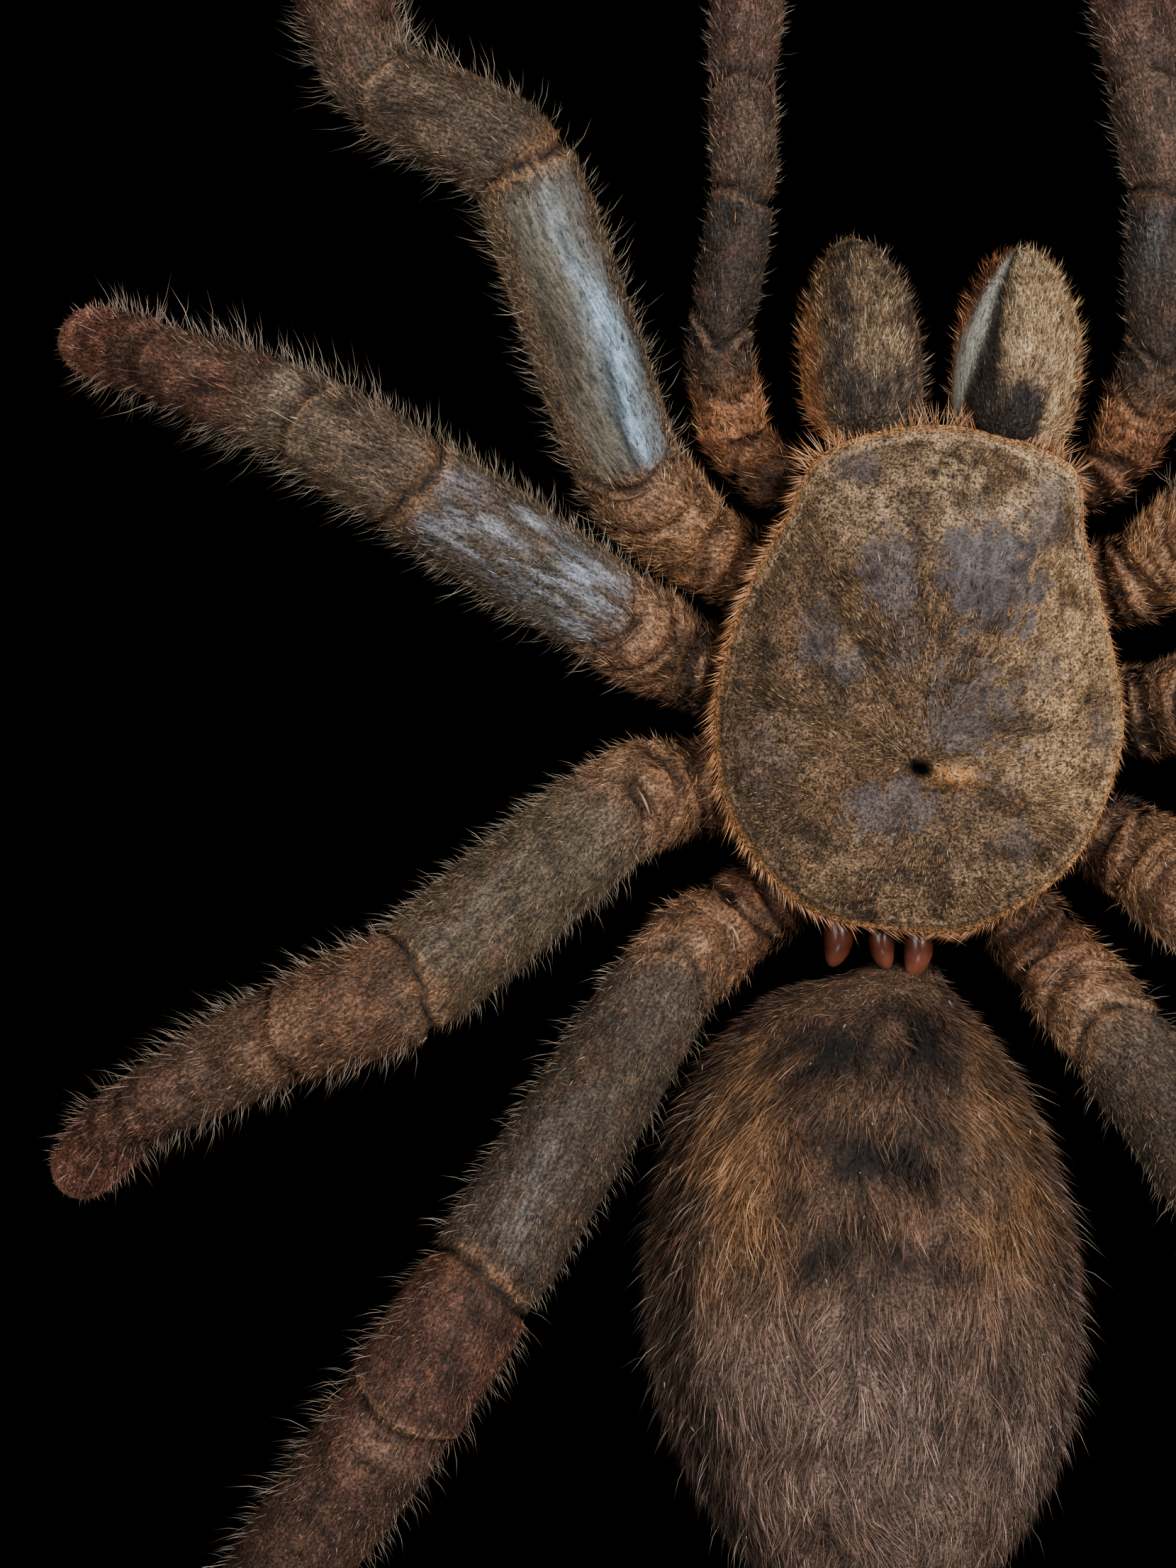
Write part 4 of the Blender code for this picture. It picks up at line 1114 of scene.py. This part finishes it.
def makeCarapace(shape, seed):
    rng = np.random.default_rng(seed)
    middle = np.array(shape["centre"])
    wall = np.array(shape["wall"])
    topRows, lipRows = shape["topRows"], shape["lipRows"]
    lipFoot, lipBase = wall[-1]
    wallShares = smoothRows(wall, 2)
    rows = len(wallShares) + lipRows + topRows
    mesh, turn, along = wrapGrid("carapace_skin", rows - 1, shape["columns"])
    row = np.rint(along * (rows - 1)).astype(int)
    rim = rimPlace(turn)
    rimTop = rimLevel(rim[:, 1])
    isWall = row < len(wallShares)
    isLip = (row >= len(wallShares)) & (row < len(wallShares) + lipRows)
    lip = np.clip((row - len(wallShares) + 1.0) / lipRows, 0.0, 1.0)
    top = row >= len(wallShares) + lipRows
    inward = np.clip((row - len(wallShares) - lipRows) / (topRows - 1.0), 0.0, 1.0)
    onWall = wallShares[np.minimum(row, len(wallShares) - 1)]
    lipShare = lipFoot + shape["lipReach"] * np.sin(lip * math.pi / 2)
    share = np.where(isWall, onWall[:, 0], np.where(isLip, lipShare, 1.0 - inward ** 1.25))
    flat = middle + (rim - middle) * share[:, None]
    x, y = flat[:, 0], flat[:, 1]
    topLevel = carapaceLevel(x, y, share) - shape["skinDepth"]
    lipLevel = lipBase + (rimTop - shape["edgeDrop"] - lipBase) * lip
    level = np.where(isWall, onWall[:, 1], np.where(isLip, lipLevel, topLevel))
    spot = triples(x, y, level)
    relief = (softNoise(spot, 0.8) - 0.5) * 0.16 + (softNoise(spot + 9.0, 2.6) - 0.5) * 0.25
    relief = relief * fade(share, 0.9, 1.0) + 0.1 * bell(share - 0.955, 0.015)
    level = level + relief * top
    level = np.where(share < 1e-6, np.where(top, level[np.argmin(share + ~top * 9)], wall[0, 1]), level)
    points = triples(x, y, level + boardTop)
    tint, rubbed = carapaceColours(x, y, share)
    under = (~top).astype(float)
    tint = paint(tint, (None, 0.85 + 0.15 * rubbed), ("#4a2c1a", under))
    reach, angle = fromFovea(x, y)
    near = np.minimum(reach, 5.0)
    comb = triples(np.cos(angle) * near, np.sin(angle) * near, reach * 0.3)
    finishSkin(mesh, points, tint, comb, rubbed * (1 - under) * 0.8, shellCuticle, "cephalothorax")

    # golden down, pressed flat and combed away from the hollow in the middle
    count = shape["down"]
    turns = rng.random(count * 3)
    shares = np.sqrt(rng.random(count * 3)) * 0.985
    rim = rimPlace(turns)
    flat = middle + (rim - middle) * shares[:, None]
    x, y = flat[:, 0], flat[:, 1]
    tint, rubbed = carapaceColours(x, y, shares)
    hole = blob(x, y, shape["fovea"], 0.7, 0.5)
    keep = np.flatnonzero(rng.random(count * 3) < (1.0 - 0.85 * rubbed) * (1.0 - hole))[:count]
    x, y, shares, tint = x[keep], y[keep], shares[keep], tint[keep]
    count = len(keep)
    depth = shape["rootDepth"]
    level = carapaceLevel(x, y, shares) - depth
    step = shape["slopeStep"]
    slopeX = (carapaceLevel(x + step, y, shares) - level - depth) / step
    slopeY = (carapaceLevel(x, y + step, shares) - level - depth) / step
    fall = shape["dome"] * 1.9 * shares ** 1.4 / 10.0
    outward = unit(onFlat(x - middle[0], y - middle[1]))
    normal = unit(triples(-slopeX, -slopeY, np.ones(count)) + outward * fall[:, None])
    angle = fromFovea(x, y)[1] + (softNoise(onFlat(x, y), 1.3) - 0.5) * 1.1
    spots = {"point": triples(x, y, level + boardTop), "normal": normal,
             "line": onFlat(np.cos(angle), np.sin(angle))}
    lower, upper = combed(spots, np.radians(rng.normal(11, 5, count)), 0.1, rng)
    lightness = np.exp(rng.normal(-0.08, 0.6, count))
    lightness = np.where(rng.random(count) < 0.08, lightness * 2.4, lightness)
    groups = [("straight", spots["point"], lower, lower, 0.18 + 0.3 * rng.random(count),
               np.full(count, shape["downWidth"]),
               blend(tint, "#b18a61", 0.5 * (rng.random(count) < 0.45)) * lightness[:, None])]

    # rust-coloured fringe round the rim, longest at the front and on the left
    count = shape["fringe"]
    turns = rng.random(count)
    rim = rimPlace(turns)
    tangent = unit(rimPlace(turns + 0.002) - rimPlace(turns - 0.002))
    outward = onFlat(-tangent[:, 1], tangent[:, 0])
    outward *= np.sign(np.sum(outward[:, :2] * (rim - middle), axis=1))[:, None]
    along = onFlat(tangent[:, 0], tangent[:, 1])
    backward = np.sign(-along[:, 1:2])
    front = ramp(rim[:, 1], 13.5, 15.5)
    tuft = softNoise(onFlat(rim[:, 0], rim[:, 1]), 0.6)
    sweep = np.where(front[:, None] > 0.5, rng.normal(0, 0.3, (count, 1)), rng.normal(1.1, 0.4, (count, 1)))
    rear = ramp(-rim[:, 1], 4.0, 6.5)
    sweep += (tuft[:, None] - 0.5) * 1.8 + rear[:, None] * 0.8
    rise = rng.normal(0.2, 0.3, (count, 1))
    lower = unit(outward + along * backward * sweep + np.array([[0.0, 0.0, 1.0]]) * rise)
    upper = unit(lower + outward * 0.1 + np.array([[0.0, 0.0, -0.25]]))
    rootLevel = rimLevel(rim[:, 1]) + boardTop - 0.15 - 0.35 * rng.random(count)
    roots = triples(rim[:, 0], rim[:, 1], rootLevel)
    roots -= outward * (0.15 + 0.35 * rng.random(count))[:, None]
    left = ramp(-rim[:, 0], 2.0, 8.0)
    lengths = 0.7 + 0.95 * front + 0.5 * left + 0.4 * rear
    lengths = lengths * (0.4 + 0.9 * rng.random(count)) * (0.6 + 0.7 * tuft)
    colour = blend(evenly("#cd8f5c", count), "#6b4028", rng.random(count) ** 1.5)
    colour = blend(colour, "#dcb08e", (rng.random(count) < 0.2 + 0.2 * front + 0.3 * rear) * 0.7)
    widths = shape["fringeWidth"] * (0.7 + 0.5 * rng.random(count))
    groups.append(("bent", roots, lower, upper, lengths, widths,
                   colour * (0.6 + 0.8 * rng.random((count, 1)) + 0.5 * left[:, None])))
    addHairs("carapace_hair", groups)


makeCarapace(carapace, 61)
print("carapace: shell, down and fringe")


# Small horny knobs under the back edge of the carapace

knobs = {"centres": [(-3.6, -7.6), (-1.55, -7.9), (0.25, -8.1)], "halfSizes": (0.72, 1.6, 0.75),
         "height": 8.4, "pale": -9.3}


def makeKnobs(shape):
    # Hard glossy chitin, smooth and red-brown: it gives small wet-looking points of light
    material, add = startMaterial("glossyChitin")
    place = add("TexCoord", {}, "Object")
    cloud = add("TexNoise", {"Vector": place, "Scale": 1.0 / (0.5 * mm)})
    back = add("SeparateXYZ", {"Vector": place}, "Y")
    end = add("MapRange", ranges(back, (shape["pale"] + 1.0) * mm, shape["pale"] * mm))
    share = add("Math", {0: cloud, 1: end}, operation="MULTIPLY")
    colour = add("Mix", between(share, "#451f13", "#9c5c46"), 2, data_type="RGBA")
    setShader(material, Base_Color=colour, Roughness=0.22)
    bm = bmesh.new()
    for number, (x, y) in enumerate(shape["centres"]):
        made = bmesh.ops.create_uvsphere(bm, u_segments=20, v_segments=14, radius=1.0)["verts"]
        size = 1.0 - 0.12 * (number % 2)
        bmesh.ops.scale(bm, vec=Vector(shape["halfSizes"]) * size, verts=made)
        bmesh.ops.translate(bm, vec=Vector((x, y, shape["height"] + boardTop)), verts=made)
        for vert in made:
            vert.co.x += 0.12 * (vert.co.y - y) ** 2 * (1 if number % 2 else -1)
    bmesh.ops.scale(bm, vec=Vector((mm, mm, mm)), verts=bm.verts)
    mesh = meshFrom(bm, "waist_knobs")
    mesh.shade_smooth()
    addPiece(mesh, material)


makeKnobs(knobs)


# Frame finishes

def stainedWood(name, stretch):
    # Black-stained hardwood, planed and wiped with oil: dark brown-black with fine grain along the rail
    material, add = startMaterial(name)
    place = add("TexCoord", {}, "Object")
    along = add("Mapping", {"Vector": place, "Scale": stretch})
    pores = add("TexNoise", {"Vector": along, "Scale": 1.0 / (0.5 * mm), "Detail": 5.0, "Roughness": 0.7})
    rings = add("TexNoise", {"Vector": along, "Scale": 1.0 / (4.0 * mm), "Detail": 3.0, "Distortion": 0.6})
    shade = add("Math", {0: pores, 1: rings}, operation="MULTIPLY")
    spread = add("MapRange", ranges(shade, 0.12, 0.42))
    colour = add("Mix", between(spread, "#0d0b0a", "#2b231e"), 2, data_type="RGBA")
    rough = add("MapRange", ranges(pores, 0.0, 1.0, 0.32, 0.62))
    bump = add("Bump", {"Height": pores, "Strength": 0.35, "Distance": 0.15 * mm})
    return setShader(material, Base_Color=colour, Roughness=rough, Normal=bump, Specular_IOR_Level=0.45)


def fibreSheet(name, dark, light, grain, rough, shine):
    # Pressed paper fibre: flat and dry, with a faint cloud of fibres
    material, add = startMaterial(name)
    place = add("TexCoord", {}, "Object")
    fibres = add("TexNoise", {"Vector": place, "Scale": 1.0 / (grain * mm), "Detail": 6.0,
                              "Roughness": 0.75})
    colour = add("Mix", between(fibres, dark, light), 2, data_type="RGBA")
    bump = add("Bump", {"Height": fibres, "Strength": 0.25, "Distance": 0.1 * mm})
    return setShader(material, Base_Color=colour, Normal=bump, Roughness=rough, Specular_IOR_Level=shine)


def coatedGlass():
    # Float glass with an anti-reflection coating: nearly nothing shows in it from above. Such a coating
    # sends back about half a percent at each face, which a plain IOR of 1.15 gives
    material = startMaterial("coatedGlass")[0]
    return setShader(material, Base_Color=rgba("#fdfffe"), Roughness=0.0, Transmission_Weight=1.0, IOR=1.15)


def zincSteel():
    # Zinc-plated steel strip: pale grey metal with a faint spangle
    material, add = startMaterial("zincPlatedSteel")
    place = add("TexCoord", {}, "Object")
    spangle = add("TexVoronoi", {"Vector": place, "Scale": 1.0 / (1.5 * mm)}, "Distance")
    colour = add("Mix", between(spangle, "#b9bcc0", "#90949a"), 2, data_type="RGBA")
    rough = add("MapRange", ranges(spangle, 0.0, 1.0, 0.28, 0.45))
    return setShader(material, Base_Color=colour, Roughness=rough, Metallic=1.0)


woodAlongX = stainedWood("blackStainedWoodAlongX", (0.06, 1.0, 1.0))
woodAlongY = stainedWood("blackStainedWoodAlongY", (1.0, 0.06, 1.0))
mountBoard = fibreSheet("blackMountBoard", "#000000", "#020202", 0.35, 1.0, 0.0)
frameFinishes = {
    "rail_top": woodAlongX, "rail_bottom": woodAlongX, "rail_left": woodAlongY, "rail_right": woodAlongY,
    "glass": coatedGlass(), "hanger": zincSteel(),
    "back_panel": fibreSheet("brownHardboard", "#4a2f1c", "#7b5637", 0.6, 0.7, 0.2),
    "backing_board": mountBoard, "spacer_left": mountBoard, "spacer_right": mountBoard,
    "spacer_top": mountBoard, "spacer_bottom": mountBoard,
}
for nodeName, finish in frameFinishes.items():
    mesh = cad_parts[nodeName].data
    for slotNumber in range(len(mesh.materials)):
        mesh.materials[slotNumber] = finish
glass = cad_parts["glass"]
glass.visible_shadow = False    # clear glass casts no shadow on what is behind it
glass.visible_diffuse = False
glass.visible_glossy = False
print("frame: finishes")


# Floor, world and lights

studio = {
    "floor": ("#d9d6d1", "#dedbd6"),
    "floorHalf": 9.0,
    "sky": ("#d4d7dc", "#000000"),    # all round, and the card overhead
    "skyStrength": 0.32,
    # name: place, what it points at, size, power
    "lights": {
        "keySoftbox": ((0.34, 0.20, 0.60), (-0.015, 0.0, 0.02), 0.26, 6.5),
        "fillSoftbox": ((-0.36, 0.16, 0.62), (-0.015, 0.0, 0.02), 0.36, 2.4),
        "rearSoftbox": ((-0.02, -0.46, 0.66), (-0.015, 0.0, 0.02), 0.34, 1.6),
    },
}


def makeStudio(setup):
    bm = bmesh.new()
    bmesh.ops.create_grid(bm, x_segments=2, y_segments=2, size=setup["floorHalf"])
    mesh = meshFrom(bm, "studio_floor")
    material, add = startMaterial("matPaper")
    place = add("TexCoord", {}, "Object")
    cloud = add("TexNoise", {"Vector": place, "Scale": 3.0})
    colour = add("Mix", between(cloud, *setup["floor"]), 2, data_type="RGBA")
    mesh.materials.append(setShader(material, Base_Color=colour, Roughness=0.9))
    floor = addObject("studio_floor", mesh)
    world = bpy.data.worlds.new("studioWorld")
    world.use_nodes = True
    bpy.context.scene.world = world
    # a dark card hangs overhead, so that the glass shows nothing from straight above
    way = addNode(world, "TexCoord", {}, "Generated")
    height = addNode(world, "SeparateXYZ", {"Vector": way}, "Z")
    card = addNode(world, "MapRange", ranges(height, 0.9, 0.97))
    sky = addNode(world, "Mix", between(card, *setup["sky"]), 2, data_type="RGBA")
    setInputs(world, world.node_tree.nodes["Background"], {"Color": sky, "Strength": setup["skyStrength"]})
    for name, (place, target, size, power) in setup["lights"].items():
        data = bpy.data.lights.new(name, "AREA")
        data.size = size
        data.energy = power
        light = addObject(name, data)
        light.location = place
        light.rotation_euler = (Vector(target) - Vector(place)).to_track_quat("-Z", "Y").to_euler()


makeStudio(studio)
print("studio: floor, world and lights")
